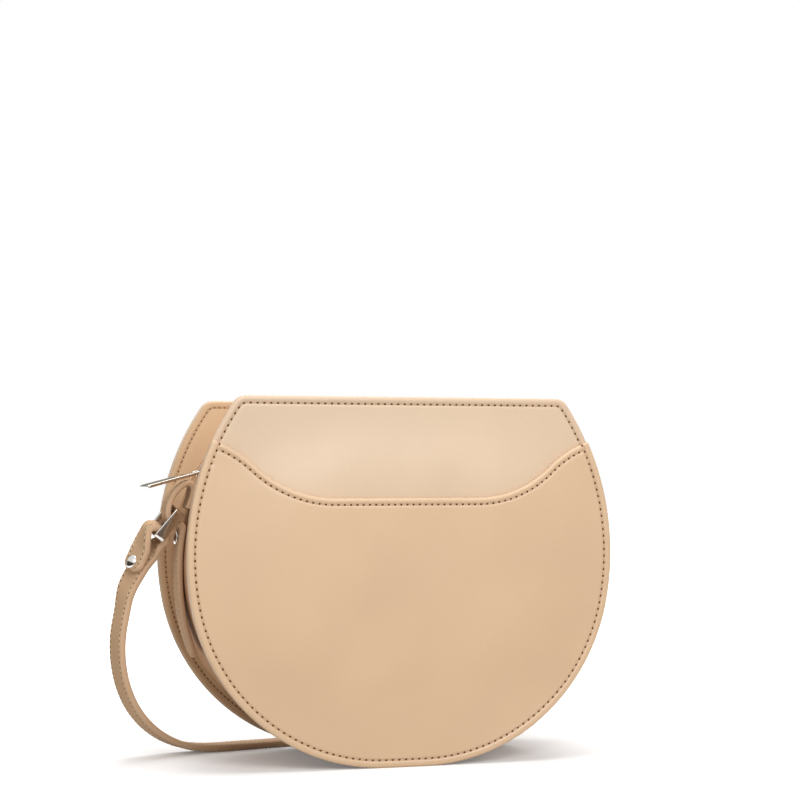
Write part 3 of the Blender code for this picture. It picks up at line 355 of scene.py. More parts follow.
def crown(points):
    """How far a panel's leather swells at (x, z) points: the crown's height times an ease of the way in from
    the side's arc and one of the way down from the top, with a slow ripple of up to a tenth of it."""
    x = points[..., 0]
    z = points[..., 1]
    side = LOWER_RADIUS - np.hypot(np.maximum(np.abs(x) - FOOT_HALF, 0.0), z - LOWER_RADIUS)
    within = ease(side / CROWN_WAY) * ease((BAG_HEIGHT - z) / CROWN_WAY)
    slow = np.sin(58 * x + 31 * z + 0.6) * np.sin(47 * z - 22 * x + 1.9)
    return CROWN * within * (1 + (0.07 * slow + 0.03 * np.sin(131 * x - 87 * z)))


def stitched(distance, count):
    """How deep a row of stitches presses the leather at this distance from it, after so many stitches: a groove
    that falls off as a bell curve, and a needle hole, a bell curve both ways, at each whole count."""
    beside = (count - np.round(count)) * STITCH_PITCH
    groove = GROOVE_DEEP * np.exp(-((distance / GROOVE_WIDE) ** 2))
    return groove + HOLE_DEEP * np.exp(-((distance / HOLE_WIDE) ** 2) - (beside / HOLE_LONG) ** 2)


def rounded(inset, radius):
    """How far a surface falls back at this inset from an edge rounded with this radius: the radius less the
    root of its square less the square of what is left of it."""
    left = np.clip(radius - np.asarray(inset, float), 0.0, radius)
    return radius - np.sqrt(radius**2 - left**2)


def ruled(first, last, rows):
    """Rows of points drawn straight from one line's points to another's."""
    shares = np.linspace(0.0, 1.0, rows + 1)[:, None, None]
    return first + (last - first) * shares


def halves(loop):
    """A closed loop's upper and lower halves, both from its right to its left."""
    steps = len(loop) - 1
    upper = loop[np.arange(-(steps // 4), steps // 4 + 1) % steps]
    lower = loop[np.arange(3 * steps // 4, steps // 4 - 1, -1)]
    return upper, lower


def fit(name, mesh, finish, body, replaced=()):
    """Puts a finished mesh in the scene at the origin, with its material, its body and what it stands for."""
    piece = bpy.data.objects.new(name, mesh)
    scene.collection.objects.link(piece)
    mesh.materials.append(finish.material)
    mesh.shade_smooth()
    mesh.set_sharp_from_angle(angle=SHARP_TURN)
    if body:
        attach(piece, body)
    if replaced:
        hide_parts(*replaced)
    return piece


def skin(name, patches):
    """One closed mesh from grids of points: the quads of each run row to row and point to point, meeting points
    are merged, open ends are filled, and the faces are turned out. A grid may bring, for each point, the count
    of stitches passed and the millimetres from their row, which become the map named stitch."""
    corners, quads, marks = [], [], []
    start = 0
    for points, mark in patches:
        rows, columns = points.shape[:2]
        index = start + np.arange(rows * columns).reshape(rows, columns)
        around = (index[:-1, :-1], index[:-1, 1:], index[1:, 1:], index[1:, :-1])
        quads.append(np.stack(around, axis=-1).reshape(-1, 4))
        corners.append(points.reshape(-1, 3))
        mark = AWAY_FROM_ROWS if mark is None else mark
        marks.append(np.broadcast_to(mark, (rows, columns, 2)).reshape(-1, 2))
        start += rows * columns
    corners, quads, marks = (np.concatenate(part) for part in (corners, quads, marks))
    mesh = bpy.data.meshes.new(name)
    mesh.from_pydata(corners, [], quads)
    mesh.uv_layers.new(name="stitch").data.foreach_set("uv", marks[quads.ravel()].ravel())
    shape = bmesh.new()
    shape.from_mesh(mesh)
    bmesh.ops.remove_doubles(shape, verts=shape.verts, dist=MERGE)
    bmesh.ops.holes_fill(shape, edges=[edge for edge in shape.edges if edge.is_boundary], sides=0)
    bmesh.ops.recalc_face_normals(shape, faces=shape.faces)
    shape.to_mesh(mesh)
    shape.free()
    return mesh


def pellets(name, centres, ahead, out, sizes, square=1.0, sink=0.0):
    """Many small rounded pieces in one mesh, each of 30 faces. Along a piece s runs from -1 to 1. Its section
    is an oval whose points are cos and sin to the power square, times the root of 1 less s to the fourth, and
    the piece sinks by its sink times s to the fourth."""
    ahead = unit(ahead)
    out = unit(out - ahead * (out * ahead).sum(axis=1, keepdims=True))
    side = np.cross(ahead, out)
    stations = np.array([-0.86, -0.4, 0.4, 0.86])
    swells = np.sqrt(1 - stations**4)
    sides = 6
    turns = np.arange(sides) * math.pi / 3
    oval = np.stack([np.cos(turns), np.sin(turns)])
    oval = np.sign(oval) * np.abs(oval) ** square
    body = np.array([[(s, w * a, w * b) for a, b in oval.T] for s, w in zip(stations, swells)]).reshape(-1, 3)
    local = np.vstack([(-1.0, 0.0, 0.0), body, (1.0, 0.0, 0.0)]) * sizes
    local[:, 1] -= sink * (local[:, 0] / sizes[0]) ** 4
    corners = centres[:, None] + np.einsum("pa,nac->npc", local, np.stack([ahead, out, side], axis=1))
    count = len(local)
    pairs = [(a, (a + 1) % sides) for a in range(sides)]
    last = count - 1 - sides
    faces = [(0, 1 + b, 1 + a) for a, b in pairs] + [(count - 1, last + a, last + b) for a, b in pairs]
    for start in range(1, last, sides):
        faces += [(start + a, start + b, start + sides + b, start + sides + a) for a, b in pairs]
    faces = [tuple(n * count + corner for corner in face) for n in range(len(centres)) for face in faces]
    mesh = bpy.data.meshes.new(name)
    mesh.from_pydata(corners.reshape(-1, 3), [], faces)
    shape = bmesh.new()
    shape.from_mesh(mesh)
    bmesh.ops.recalc_face_normals(shape, faces=shape.faces)
    shape.to_mesh(mesh)
    shape.free()
    return mesh


# Where a look of the leather starts and ends: the groove's and rim's in millimetres from the row of stitches,
# the flange's in metres from the bag's middle, and the hole's as a sum of squares that its two spreads weigh
HOLE_ACROSS = 3.9
HOLE_ALONG = 2.3
HOLE_LOOKS = (0.45, 1.2)
GROOVE_LOOKS = (0.3, 1.0)
RIM_STARTS = (0.7, 1.3)
RIM_ENDS = (30.0, 40.0)
FLANGE_STARTS = (0.0350, 0.0356)


def leather(name, colour, depth=0.03, gloss=0.32, shine=0.46, hole=tone(110, 62, 26), needle=1.0, rim=None,
            flange=None):
    """Smooth tanned leather: slow clouds of paler and darker hide, fine pores, faint creases, a satin gloss,
    and needle holes and their groove where the map named stitch puts them. The groove is darkened, partly
    as painted shade and partly as dirt. The rim outside the row may have its own colour. Where the given
    colour is painted darker as shade between the panels, the flanges beside the panels keep the lit tone."""
    made = Finish(name)
    place = made.place()
    clouds = made.noise(place, 16.0)
    fleck = made.noise(place, 520.0)
    pores = made.noise(place, 1500.0, 3.0)
    to_edge = {"feature": "DISTANCE_TO_EDGE"}
    creases = made.add("ShaderNodeTexVoronoi", to_edge, {"Vector": place, "Scale": 620.0})
    stitch = made.add("ShaderNodeUVMap", {"uv_map": "stitch"})
    to_hole = made.math("PINGPONG", made.part(stitch, 0), 0.5) * (STITCH_PITCH * MILLI)
    to_row = made.part(stitch, 1)
    reach = (to_row * to_row * HOLE_ACROSS + to_hole * to_hole * HOLE_ALONG) * (1 / needle**2)
    holes = 1 - reach.smooth(*HOLE_LOOKS)
    groove = 1 - abs(to_row).smooth(*GROOVE_LOOKS)
    dark = shaded(colour, 1 - depth)
    hide = made.mix(clouds.smooth(0.32, 0.68), dark, shaded(colour, 1 + depth))
    speck = made.mix(fleck.smooth(0.5, 0.8) * 0.25, hide, dark)
    if rim is not None:
        outside = to_row * -1
        beyond = outside.smooth(*RIM_STARTS) - outside.smooth(*RIM_ENDS)
        speck = made.mix(beyond * 0.6, speck, rim)
    # Beside the panels the flange colour takes over; between them the darker given colour is painted shade.
    if flange is not None:
        from_middle = abs(made.part(place, 1) - MID_DEPTH)
        speck = made.mix(from_middle.smooth(*FLANGE_STARTS), speck, flange)
    # In the stitches' groove the colour is darkened: partly painted shade in the groove, partly dirt worked
    # into it.
    with_groove_shade_and_dirt = made.mix(groove * 0.35, speck, shaded(colour, 0.72))
    relief = pores * 0.5 + creases.smooth(0.0, 0.25) * 0.35 - holes * 1.5
    made.feed(made.shader, {
        "Base Color": made.mix(holes, with_groove_shade_and_dirt, hole),
        "Roughness": fleck * 0.10 + (gloss - 0.05) + holes * 0.3,
        "Normal": made.bump(relief, 0.35, 0.0001),
        "Specular IOR Level": shine,
    })
    return made


def thread(name, colour):
    """Waxed linen thread: twisted strands across a pale yarn."""
    made = Finish(name)
    strands = made.noise(made.place(), 4200.0, 1.0)
    made.feed(made.shader, {
        "Base Color": made.mix(strands, shaded(colour, 0.7), colour),
        "Roughness": strands * 0.2 + 0.5,
        "Normal": made.bump(strands, 0.4, 0.0001),
    })
    return made


THREAD_SHARE = 0.74
THREAD_RADIUS = 0.00027
THREAD_SINK = 0.0004
COUNT_SLACK = 0.01


def sew(name, row, count, out, pitch, finish, body, keep=None):
    """The stitches of one row: between each two needle holes, where the count is whole, a thread that is a
    little shorter than the pitch."""
    between = np.arange(math.ceil(count[0] - COUNT_SLACK), math.floor(count[-1] + COUNT_SLACK)) + 0.5
    centres = read_at(between, count, row)
    ahead = read_at(between, count, np.gradient(row, axis=0))
    outward = read_at(between, count, np.broadcast_to(out, row.shape))
    if keep is not None:
        kept = keep(centres)
        centres, ahead, outward = centres[kept], ahead[kept], outward[kept]
    sizes = (THREAD_SHARE * pitch / 2, THREAD_RADIUS, THREAD_RADIUS)
    return fit(name, pellets(name, centres, ahead, outward, sizes, sink=THREAD_SINK), finish, body)


RIM_ROUND = 0.0011
RIM_INSETS = np.array([
    0.0, 0.06, 0.18, 0.36, 0.6, 0.85, 1.1, 1.6, 2.2, 2.7, 3.0,
    3.2, 3.4, 3.55, 3.7, 3.85, 4.0, 4.2, 4.4, 4.7, 5.4, 7.0,
]) / MILLI
BACK_INSETS = np.array([7.0, 1.1, 0.6, 0.25, 0.06, 0.0]) / MILLI
FILL_ROWS = 24

# The panels' tan is painted paler and cooler than the pocket's, though both are the same leather: a painted
# sheen that stands for the soft highlight on the upper panel.
panel_tan_painted_sheen = leather("panel leather", tone(216, 190, 162), rim=tone(216, 186, 157))
linen = thread("linen thread", tone(226, 196, 160))
loop, loop_away, loop_count = outline_loop()


def rim_relief(inset, count):
    """How far a panel's face lies below flat near its rim: the rounded edge and the stitches, less the puff of
    the rim outside the stitches, which is a half sine from the edge to the row."""
    puff = RIM_PUFF * np.sin(np.pi * np.clip((inset - RIM_ROUND / 2) / (STITCH_INSET - RIM_ROUND), 0.0, 1.0))
    return rounded(inset, RIM_ROUND) + stitched(inset - STITCH_INSET, count) - puff


def panel(name, outward, face):
    """A half moon panel: its sewn face looks outward, and swells, and its other face is flat."""
    inside = face - outward * PANEL_LEATHER
    flat = loop[None] - RIM_INSETS[:, None, None] * loop_away
    depth = face + outward * (crown(flat) - rim_relief(RIM_INSETS[:, None], loop_count[None]))
    off_row = (RIM_INSETS[:, None] - STITCH_INSET) * MILLI
    mark = np.stack(np.broadcast_arrays(loop_count[None], off_row), axis=-1)
    rim = in_depth(flat, depth)
    hidden = loop[None] - BACK_INSETS[:, None, None] * loop_away
    behind = in_depth(hidden, (inside + outward * rounded(BACK_INSETS, RIM_ROUND))[:, None])
    behind[-1] = rim[0]
    middle = ruled(*halves(rim[-1]), FILL_ROWS)
    middle[1:-1, :, 1] = face + outward * crown(middle[1:-1, :, [0, 2]])
    back = ruled(*halves(behind[0]), FILL_ROWS // 4)
    return skin(name, [(rim, mark), (behind, None), (middle, None), (back, None)])


front = panel("front_panel_leather", -1, FRONT_FACE)
fit("front_panel_leather", front, panel_tan_painted_sheen, "bag", ["front_panel"])


# The front pocket.
# A second piece of the same leather over the panel. Its top edge is turned, sewn and cut in a broad U, and its
# other edge is caught in the seam round the bag, where the panel's row of stitches goes through both.
FIT_GAP = 0.0003
POCKET_LEATHER = 0.0018
POCKET_DIP_HEIGHT = 0.1305
POCKET_DIP_HALF = 0.036
POCKET_CURVE = 0.057
POCKET_TURN = math.radians(43)
POCKET_FACE = FRONT_FACE - FIT_GAP - POCKET_LEATHER
POCKET_MID = POCKET_FACE + POCKET_LEATHER / 2
LIP_INSET = 0.0032
LIP_ROUND = 0.00085
BANDS_WIDE = 0.0150
BANDS_SHARE = 0.9
TIP_THICKENING = 0.0025


def pocket_edge():
    """The pocket's top edge from its left tip to its right: an arc up from each end of the flat dip, then one
    of the same radius that bends over to the outline, found where its circle crosses the outline's."""
    valley = np.array([POCKET_DIP_HALF, POCKET_DIP_HEIGHT + POCKET_CURVE])
    crest = valley + 2 * POCKET_CURVE * np.array([math.sin(POCKET_TURN), -math.cos(POCKET_TURN)])
    between = crest - UPPER_CENTRE
    apart = np.linalg.norm(between)
    along = (apart**2 + UPPER_RADIUS**2 - POCKET_CURVE**2) / (2 * apart)
    ahead = between / apart
    aside = math.sqrt(UPPER_RADIUS**2 - along**2)
    meeting = UPPER_CENTRE + along * ahead + aside * np.array([-ahead[1], ahead[0]])
    last = math.asin((crest[0] - meeting[0]) / POCKET_CURVE)
    low, _ = arc(valley, POCKET_CURVE, 0.0, POCKET_TURN)
    turns = np.linspace(POCKET_TURN, last, len(low))
    high = crest + POCKET_CURVE * np.stack([-np.sin(turns), np.cos(turns)], axis=1)
    half = np.vstack([(0.0, POCKET_DIP_HEIGHT), low, high[1:]])
    return np.vstack([half[::-1] * [-1, 1], half[1:]])


dip = pocket_edge()
tip = dip[-1]
caught = loop[:, 1] < tip[1]
bottom = np.vstack([tip * [-1, 1], loop[caught], tip])
bottom_away = loop_away[caught]
bottom_away = np.vstack([bottom_away[:1], bottom_away, bottom_away[-1:]])
tangent = unit(np.gradient(dip, axis=0))
dip_up = np.stack([-tangent[:, 1], tangent[:, 0]], axis=1)
dip_walked = walk(dip - LIP_INSET * dip_up)
dip_places = np.linspace(0.0, dip_walked[-1], len(bottom))
lip = read_at(dip_places, dip_walked, dip)
lip_up = unit(read_at(dip_places, dip_walked, dip_up))
LIP_STITCHES = round(dip_walked[-1] / STITCH_PITCH)
lip_count = np.linspace(0.0, LIP_STITCHES, len(bottom))
# Towards both tips the sewn bands narrow with the room between the edges, and the leather thins to a point
room_between = np.linalg.norm(lip - bottom, axis=1)
narrow = np.clip(BANDS_SHARE * room_between / BANDS_WIDE, 0.0, 1.0)
thin = np.sqrt(np.clip(room_between / TIP_THICKENING, 0.0, 1.0))
LIP_INSETS = np.array([
    0.0, 0.06, 0.18, 0.36, 0.6, 0.85, 1.3, 1.9, 2.3, 2.6, 2.8,
    3.0, 3.1, 3.2, 3.3, 3.4, 3.6, 3.8, 4.1, 4.6, 6.0,
]) / MILLI


SEARCH_PARTS = 60
SEARCH_STRIDE = 8
SEARCH_REACH = 10


def nearest(points, line, count):
    """For each point its distance to a line of short steps, and the count of stitches there. A coarse search
    finds the steps near by, the foot of the perpendicular on each is kept within it, and the nearest counts."""
    start, step = line[:-1], np.diff(line, axis=0)
    squared = (step**2).sum(axis=1)
    coarse = line[None, ::SEARCH_STRIDE]
    found = []
    for part in np.array_split(points.reshape(-1, 2), SEARCH_PARTS):
        near = ((part[:, None] - coarse) ** 2).sum(axis=2).argmin(axis=1) * SEARCH_STRIDE
        index = np.clip(near[:, None] + np.arange(-SEARCH_REACH, SEARCH_REACH), 0, len(step) - 1)
        reach = part[:, None] - start[index]
        share = np.clip((reach * step[index]).sum(axis=2) / squared[index], 0.0, 1.0)
        apart = np.linalg.norm(reach - share[..., None] * step[index], axis=2)
        best = apart.argmin(axis=1)[:, None]
        counted = count[index] + share * (count[index + 1] - count[index])
        found.append(np.hstack([np.take_along_axis(apart, best, 1), np.take_along_axis(counted, best, 1)]))
    found = np.vstack(found).reshape(*points.shape[:-1], 2)
    return found[..., 0], found[..., 1]


def edge_relief(inset, row, count, sewn):
    """What an edge does to the pocket's face beside it: its rounding, its row's stitches and its puff."""
    puff = RIM_PUFF * np.sin(np.pi * np.clip((inset - LIP_ROUND / 2) / (row - LIP_ROUND), 0.0, 1.0))
    return rounded(inset, LIP_ROUND), stitched(inset - row, count) * sewn, puff


def pocket_face(flat):
    """The pocket's seen face at (x, z) points, with their places by the stitches. Both follow from the true
    distances to the outline and to the lip. The lip's row ends where it comes to the seam's."""
    out_inset, out_count = nearest(flat, loop, loop_count)
    lip_inset, along_lip = nearest(flat, lip, lip_count)
    within = ease((out_inset - STITCH_INSET) / GROOVE_WIDE)
    round_out, sewn_out, puff_out = edge_relief(out_inset, STITCH_INSET, out_count, 1.0)
    round_lip, sewn_lip, puff_lip = edge_relief(lip_inset, LIP_INSET, along_lip, within)
    depth = POCKET_FACE + np.maximum(round_out, round_lip) + np.maximum(sewn_out, sewn_lip)
    depth = depth - np.maximum(puff_out, puff_lip)
    depth = POCKET_MID + (depth - POCKET_MID) * thin - crown(flat)
    out_off = np.abs(out_inset - STITCH_INSET)
    lip_off = np.abs(lip_inset - LIP_INSET) + (1 - within) * BANDS_WIDE
    count = np.where(out_off < lip_off, out_count, along_lip)
    return in_depth(flat, depth), np.stack([count, np.minimum(out_off, lip_off) * MILLI], axis=-1)


def pocket_back(flat, inset):
    """The pocket's hidden face, rounded at its edge like the other."""
    depth = POCKET_FACE + POCKET_LEATHER - rounded(inset, LIP_ROUND)
    return in_depth(flat, POCKET_MID + (depth - POCKET_MID) * thin - crown(flat))


def beside(edge, away, insets):
    """Lines beside one edge of the pocket, each at its inset, drawn together towards the tips."""
    return edge[None] - (insets[:, None] * narrow)[..., None] * away


lip_flat = beside(lip, lip_up, LIP_INSETS)
seam_flat = beside(bottom, bottom_away, RIM_INSETS)
faces = [pocket_face(flat) for flat in (lip_flat, seam_flat, ruled(lip_flat[-1], seam_flat[-1], FILL_ROWS))]
lip_back = pocket_back(beside(lip, lip_up, BACK_INSETS), BACK_INSETS[:, None])
seam_back = pocket_back(beside(bottom, bottom_away, BACK_INSETS), BACK_INSETS[:, None])
lip_back[-1] = faces[0][0][0]
seam_back[-1] = faces[1][0][0]
middle_back = ruled(lip_back[0], seam_back[0], FILL_ROWS)
middle_back[1:-1] = pocket_back(middle_back[1:-1, :, [0, 2]], LIP_ROUND)
pocket_tan = leather("pocket leather", tone(215, 183, 149))
pocket = skin("front_pocket_leather", [*faces, (lip_back, None), (seam_back, None), (middle_back, None)])
fit("front_pocket_leather", pocket, pocket_tan, "bag", ["front_pocket"])

THREAD_DEPTH = GROOVE_DEEP - THREAD_RADIUS / 2
CROSSING = 0.0012


def lip_height(places):
    """How high the pocket's top edge is where these points are across; past its tips, as high as they are."""
    return np.interp(places[:, 0], dip[:, 0], dip[:, 1])


seam_row = loop - STITCH_INSET * loop_away
lip_row = lip - LIP_INSET * lip_up
sew("panel_thread", in_depth(seam_row, FRONT_FACE + THREAD_DEPTH - crown(seam_row)), loop_count, (0, -1, 0),
    STITCH_PITCH, linen, "bag", keep=lambda at: at[:, 2] > lip_height(at) + CROSSING)
sew("seam_thread", in_depth(seam_row, POCKET_FACE + THREAD_DEPTH - crown(seam_row)), loop_count, (0, -1, 0),
    STITCH_PITCH, linen, "bag", keep=lambda at: at[:, 2] < lip_height(at) - CROSSING)
sew("lip_thread", in_depth(lip_row, POCKET_FACE + THREAD_DEPTH - crown(lip_row)), lip_count, (0, -1, 0),
    STITCH_PITCH, linen, "bag",
    keep=lambda at: nearest(at[:, [0, 2]], loop, loop_count)[0] > STITCH_INSET + CROSSING)


# The back panel.
# The same half moon as the front, without a pocket. Its sewn face looks back.
back = panel("back_panel_leather", 1, BACK_FACE)
fit("back_panel_leather", back, panel_tan_painted_sheen, "bag", ["back_panel"])
sew("back_thread", in_depth(seam_row, BACK_FACE - THREAD_DEPTH + crown(seam_row)), loop_count, (0, 1, 0),
    STITCH_PITCH, linen, "bag")


# The gusset.
# One long strip of thinner leather round the bottom and up both sides to the ends of the zip. Its edges are
# turned out into flanges, which are sewn flat to the panels' inner faces, and between them it swells outwards.
ZIP_END_TURN = math.radians(103.7)
GUSSET_END_TURN = math.radians(113.5)
GUSSET_LEATHER = 0.0016
GUSSET_FRONT = FRONT_FACE + PANEL_LEATHER + FIT_GAP
FLANGE_EDGE = 0.0008
FLANGE_DEPTH = 0.0062
GUSSET_SWELL = 0.0014
ZIP_SWELL = 0.0008
GUSSET_CORNER = 0.022
BODY_CORNER = GUSSET_CORNER + FLANGE_DEPTH
GUSSET_MID = FLANGE_DEPTH - GUSSET_SWELL
FLANGE_ROW = 0.0038
LOW_STEPS = 110
HIGH_STEPS = 44
SHOULDER_STEPS = 20
CORNER_STEPS = 16
FOOT_STEPS = 12
TOP_STEPS = 70
SWELL_POINTS = 15
FOLD_EDGE = 0.0004


def side_arc(gusset):
    """The centre and radius of the upper side's arc, and the turn at which the zip ends on it."""
    if gusset:
        return LOWER_CENTRE, LOWER_RADIUS, GUSSET_END_TURN
    return UPPER_CENTRE, UPPER_RADIUS, ZIP_END_TURN


def low_line(inset, gusset=True):
    """The outline, or the gusset's own line, drawn inwards by inset: from the left end of the zip down, round
    the foot and up to its right end."""
    centre, radius, end = side_arc(gusset)
    low, _ = arc(LOWER_CENTRE, LOWER_RADIUS - inset, 0.0, LOWER_TURN, LOW_STEPS)
    high, _ = arc(centre, radius - inset, LOWER_TURN, end, HIGH_STEPS)
    half = np.vstack([low, high[1:]])
    foot = ruled(half[0] * [-1, 1], half[0], FOOT_STEPS)[1:-1]
    return np.vstack([half[::-1] * [-1, 1], foot.reshape(-1, 2), half])


def high_line(inset, gusset=True):
    """The same lines over the top, from the left end of the zip to its right end."""
    around, reach, first = side_arc(gusset)
    centre, radius, turn = top_corner(inset, gusset)
    side, _ = arc(around, reach - inset, first, turn, SHOULDER_STEPS)
    corner, _ = arc(centre, radius, turn, math.pi, CORNER_STEPS)
    half = np.vstack([side, corner[1:]])
    top = ruled(half[-1] * [-1, 1], half[-1], TOP_STEPS)[1:-1]
    return np.vstack([half * [-1, 1], top.reshape(-1, 2), half[::-1]])


def swell_at(depth, swell):
    """How far within the outline the strip lies at this depth: the flange's depth less a parabola's height,
    which is the swell in the middle and nothing at both panels."""
    half = MID_DEPTH - GUSSET_FRONT
    return FLANGE_DEPTH - swell * (1 - ((depth - MID_DEPTH) / half) ** 2)


def carried(section, line):
    """A section of (inset, depth, on the gusset's own line) carried along a line, as a grid with a row for each
    of the section's points."""
    return np.stack([in_depth(line(inset, gusset), depth) for inset, depth, gusset in section])


def flipped(section):
    """The section's mirror for the back, with its order turned round."""
    return [(inset, 2 * MID_DEPTH - depth, gusset) for inset, depth, gusset in section[::-1]]


def to_back(grid):
    """Points of the front half mirrored to the back."""
    return grid * [1, -1, 1] + [0, 2 * MID_DEPTH, 0]


INNER_FACE = GUSSET_FRONT + GUSSET_LEATHER
FLANGE_INSETS = np.array([0.8, 0.9, 1.2, 2.2, 3.0, 3.4, 3.6, 3.8, 4.0, 4.2, 4.7]) / MILLI
FLANGE_ROW_INDEX = 7
FLANGE_ROOT = 0.0056
FLANGE_PITCH = 0.0026
FLANGE_PRESS = 0.8


def flange_patch(line):
    """The front flange's seen face from its foot to the fold, the map of its stitches and the line of their
    row, which keeps its own distance from the outline. The last of the points lie on the gusset's line."""
    grid = np.stack([in_depth(line(inset, False), INNER_FACE) for inset in FLANGE_INSETS])
    root = in_depth(line(FLANGE_ROOT, True), INNER_FACE)
    grid = np.concatenate([grid, ruled(grid[-1], root, 2)[1:]])
    walked = walk(grid[FLANGE_ROW_INDEX])
    count = walked / walked[-1] * round(walked[-1] / FLANGE_PITCH)
    distance = np.append(FLANGE_INSETS, [FLANGE_ROOT, FLANGE_ROOT])[:, None] - FLANGE_ROW
    grid[..., 1] -= FLANGE_PRESS * stitched(distance, np.full(len(count), 0.5))
    grid[0, :, 1] -= FOLD_EDGE
    grid[1, :, 1] -= FOLD_EDGE / 3
    mark = np.stack(np.broadcast_arrays(count[None], distance * MILLI), axis=-1)
    return grid, mark, grid[FLANGE_ROW_INDEX]


# Between the panels the gusset and the zip's facings are painted darker than the panels' same leather, as shade
# of the recess; their flanges beside the panels keep the lit tone.
gusset_tan_painted_shade = leather("gusset leather", tone(198, 156, 119), gloss=0.6, shine=0.03, needle=0.85,
                     hole=tone(104, 66, 38), flange=tone(216, 184, 149))
depths = np.linspace(INNER_FACE + FOLD_EDGE, 2 * MID_DEPTH - INNER_FACE - FOLD_EDGE, SWELL_POINTS)
strip = [(swell_at(depth, GUSSET_SWELL), depth, True) for depth in depths]
under = [(inset + GUSSET_LEATHER, depth, True) for inset, depth, _ in strip]
flange, flange_mark, flange_row = flange_patch(low_line)
fold_start = [(FLANGE_ROOT, INNER_FACE, True), (FLANGE_ROOT + FOLD_EDGE, INNER_FACE + FOLD_EDGE / 4, True)]
fold = [*fold_start, strip[0]]
flange_foot = [(FLANGE_DEPTH + GUSSET_LEATHER, GUSSET_FRONT, True), (FLANGE_EDGE, GUSSET_FRONT, False)]
foot = np.concatenate([carried([under[0], *flange_foot], low_line), flange[:1]])
gusset = skin("gusset_leather", [
    (flange, flange_mark), (to_back(flange), flange_mark),
    (carried(fold, low_line), None), (carried(flipped(fold), low_line), None),
    (carried(strip, low_line), None), (carried(under, low_line), None), (foot, None), (to_back(foot), None),
])
fit("gusset_leather", gusset, gusset_tan_painted_shade, "bag", ["gusset"])
dark_linen = thread("gusset thread", tone(206, 170, 132))
flange_count = flange_mark[0, :, 0]
for word, line, inwards in (("front", flange_row, (0, 1, 0)), ("back", to_back(flange_row), (0, -1, 0))):
    sew(f"gusset_{word}_thread", line, flange_count, inwards, FLANGE_PITCH, dark_linen, "bag")


# The linings.
# Stiff board with cloth over it, one behind each panel and one round the gusset. They are out of sight while
# the zip is closed, and hold the bag's shape.
LINING_BOARD = 0.0010
LINING_ROOM = 0.0014
LINING_STEPS = 240
LINING_ROWS = 16


def cloth(name, colour, threads, rough=0.85):
    """Plain woven cloth: two crossed sets of round threads, so many to the metre, with darker gaps between."""
    made = Finish(name)
    place = made.place()
    x, y, z = (made.part(place, number) for number in range(3))
    warp = made.math("PINGPONG", (x + z) * threads, 1.0)
    weft = made.math("PINGPONG", (y + z * 0.3) * threads, 1.0)
    weave = warp.smooth(0.0, 0.7) * weft.smooth(0.0, 0.7)
    slub = made.noise(place, 300.0)
    made.feed(made.shader, {
        "Base Color": made.mix(weave * 0.8 + slub * 0.2, shaded(colour, 0.55), colour),
        "Roughness": slub * 0.1 + rough - 0.05,
        "Normal": made.bump(weave, 0.6, 0.0002),
    })
    return made


lining_cloth = cloth("lining cloth", tone(160, 145, 126), 1800.0)
lining_inset = FLANGE_DEPTH + GUSSET_LEATHER + FIT_GAP
lining_edge = np.vstack([low_line(lining_inset), high_line(lining_inset)[::-1][1:]])
walked = walk(lining_edge)
lining_edge = read_at(np.linspace(0.0, walked[-1], LINING_STEPS + 1), walked, lining_edge)
half = LINING_STEPS // 2
for word, start in (("front", GUSSET_FRONT), ("back", 2 * MID_DEPTH - GUSSET_FRONT - LINING_BOARD)):
    faces = [in_depth(lining_edge, depth) for depth in (start, start + LINING_BOARD)]
    sides = [(ruled(face[:half + 1], face[half:][::-1], LINING_ROWS), None) for face in faces]
    board = skin(f"{word}_lining_board", [(np.stack(faces), None), *sides])
    fit(f"{word}_lining_board", board, lining_cloth, "bag", [f"{word}_lining"])
start = GUSSET_FRONT + LINING_BOARD + FIT_GAP
depths = np.linspace(start, 2 * MID_DEPTH - start, SWELL_POINTS)
outer = [(swell_at(depth, GUSSET_SWELL) + GUSSET_LEATHER + LINING_ROOM, depth, True) for depth in depths]
inner = [(inset + LINING_BOARD, depth, True) for inset, depth, _ in outer[::-1]]
board = skin("gusset_lining_board", [(carried(outer + inner + outer[:1], low_line), None)])
fit("gusset_lining_board", board, lining_cloth, "bag", ["gusset_lining"])


# The zip's leather facings.
# Two strips over the top, one on each side of the zip. Each has a flange sewn to its panel, and its free edge
# is turned under and sewn down beside the teeth.
ZIP_MOUTH = 0.0104
FACING_ROW = 0.0024
FACING_ROW_INDEX = -7
FACING_PITCH = 0.0028
FACING_PRESS = 0.7
FACING_SEWN_WAY = 0.005
NOSE_DROP = 0.0003
NOSE_BACK = 0.00005
facing_edge = MID_DEPTH - ZIP_MOUTH / 2
facing_depths = np.concatenate([
    np.linspace(INNER_FACE + FOLD_EDGE, facing_edge - FACING_SEWN_WAY, 8),
    facing_edge - np.array([3.6, 3.2, 2.9, 2.65, 2.4, 2.15, 1.9, 1.6, 1.0, 0.5, 0.2]) / MILLI,
])
row_away = facing_depths - (facing_edge - FACING_ROW)
pressed = FACING_PRESS * GROOVE_DEEP * np.exp(-((row_away / GROOVE_WIDE) ** 2))
facing_top = [(swell_at(depth, ZIP_SWELL) + press, depth, True) for depth, press in zip(facing_depths, pressed)]
nose_inset = swell_at(facing_edge, ZIP_SWELL)
nose = [
    (nose_inset + NOSE_DROP, facing_edge - NOSE_BACK, True),
    (nose_inset + GUSSET_LEATHER / 2, facing_edge, True),
    (nose_inset + GUSSET_LEATHER - NOSE_DROP, facing_edge - NOSE_BACK, True),
]
facing_under = [(swell_at(depth, ZIP_SWELL) + GUSSET_LEATHER, depth, True) for depth in facing_depths[::-1]]
flange, flange_mark, flange_row = flange_patch(high_line)
fold = carried([*fold_start, facing_top[0]], high_line)
strip = carried(facing_top, high_line)
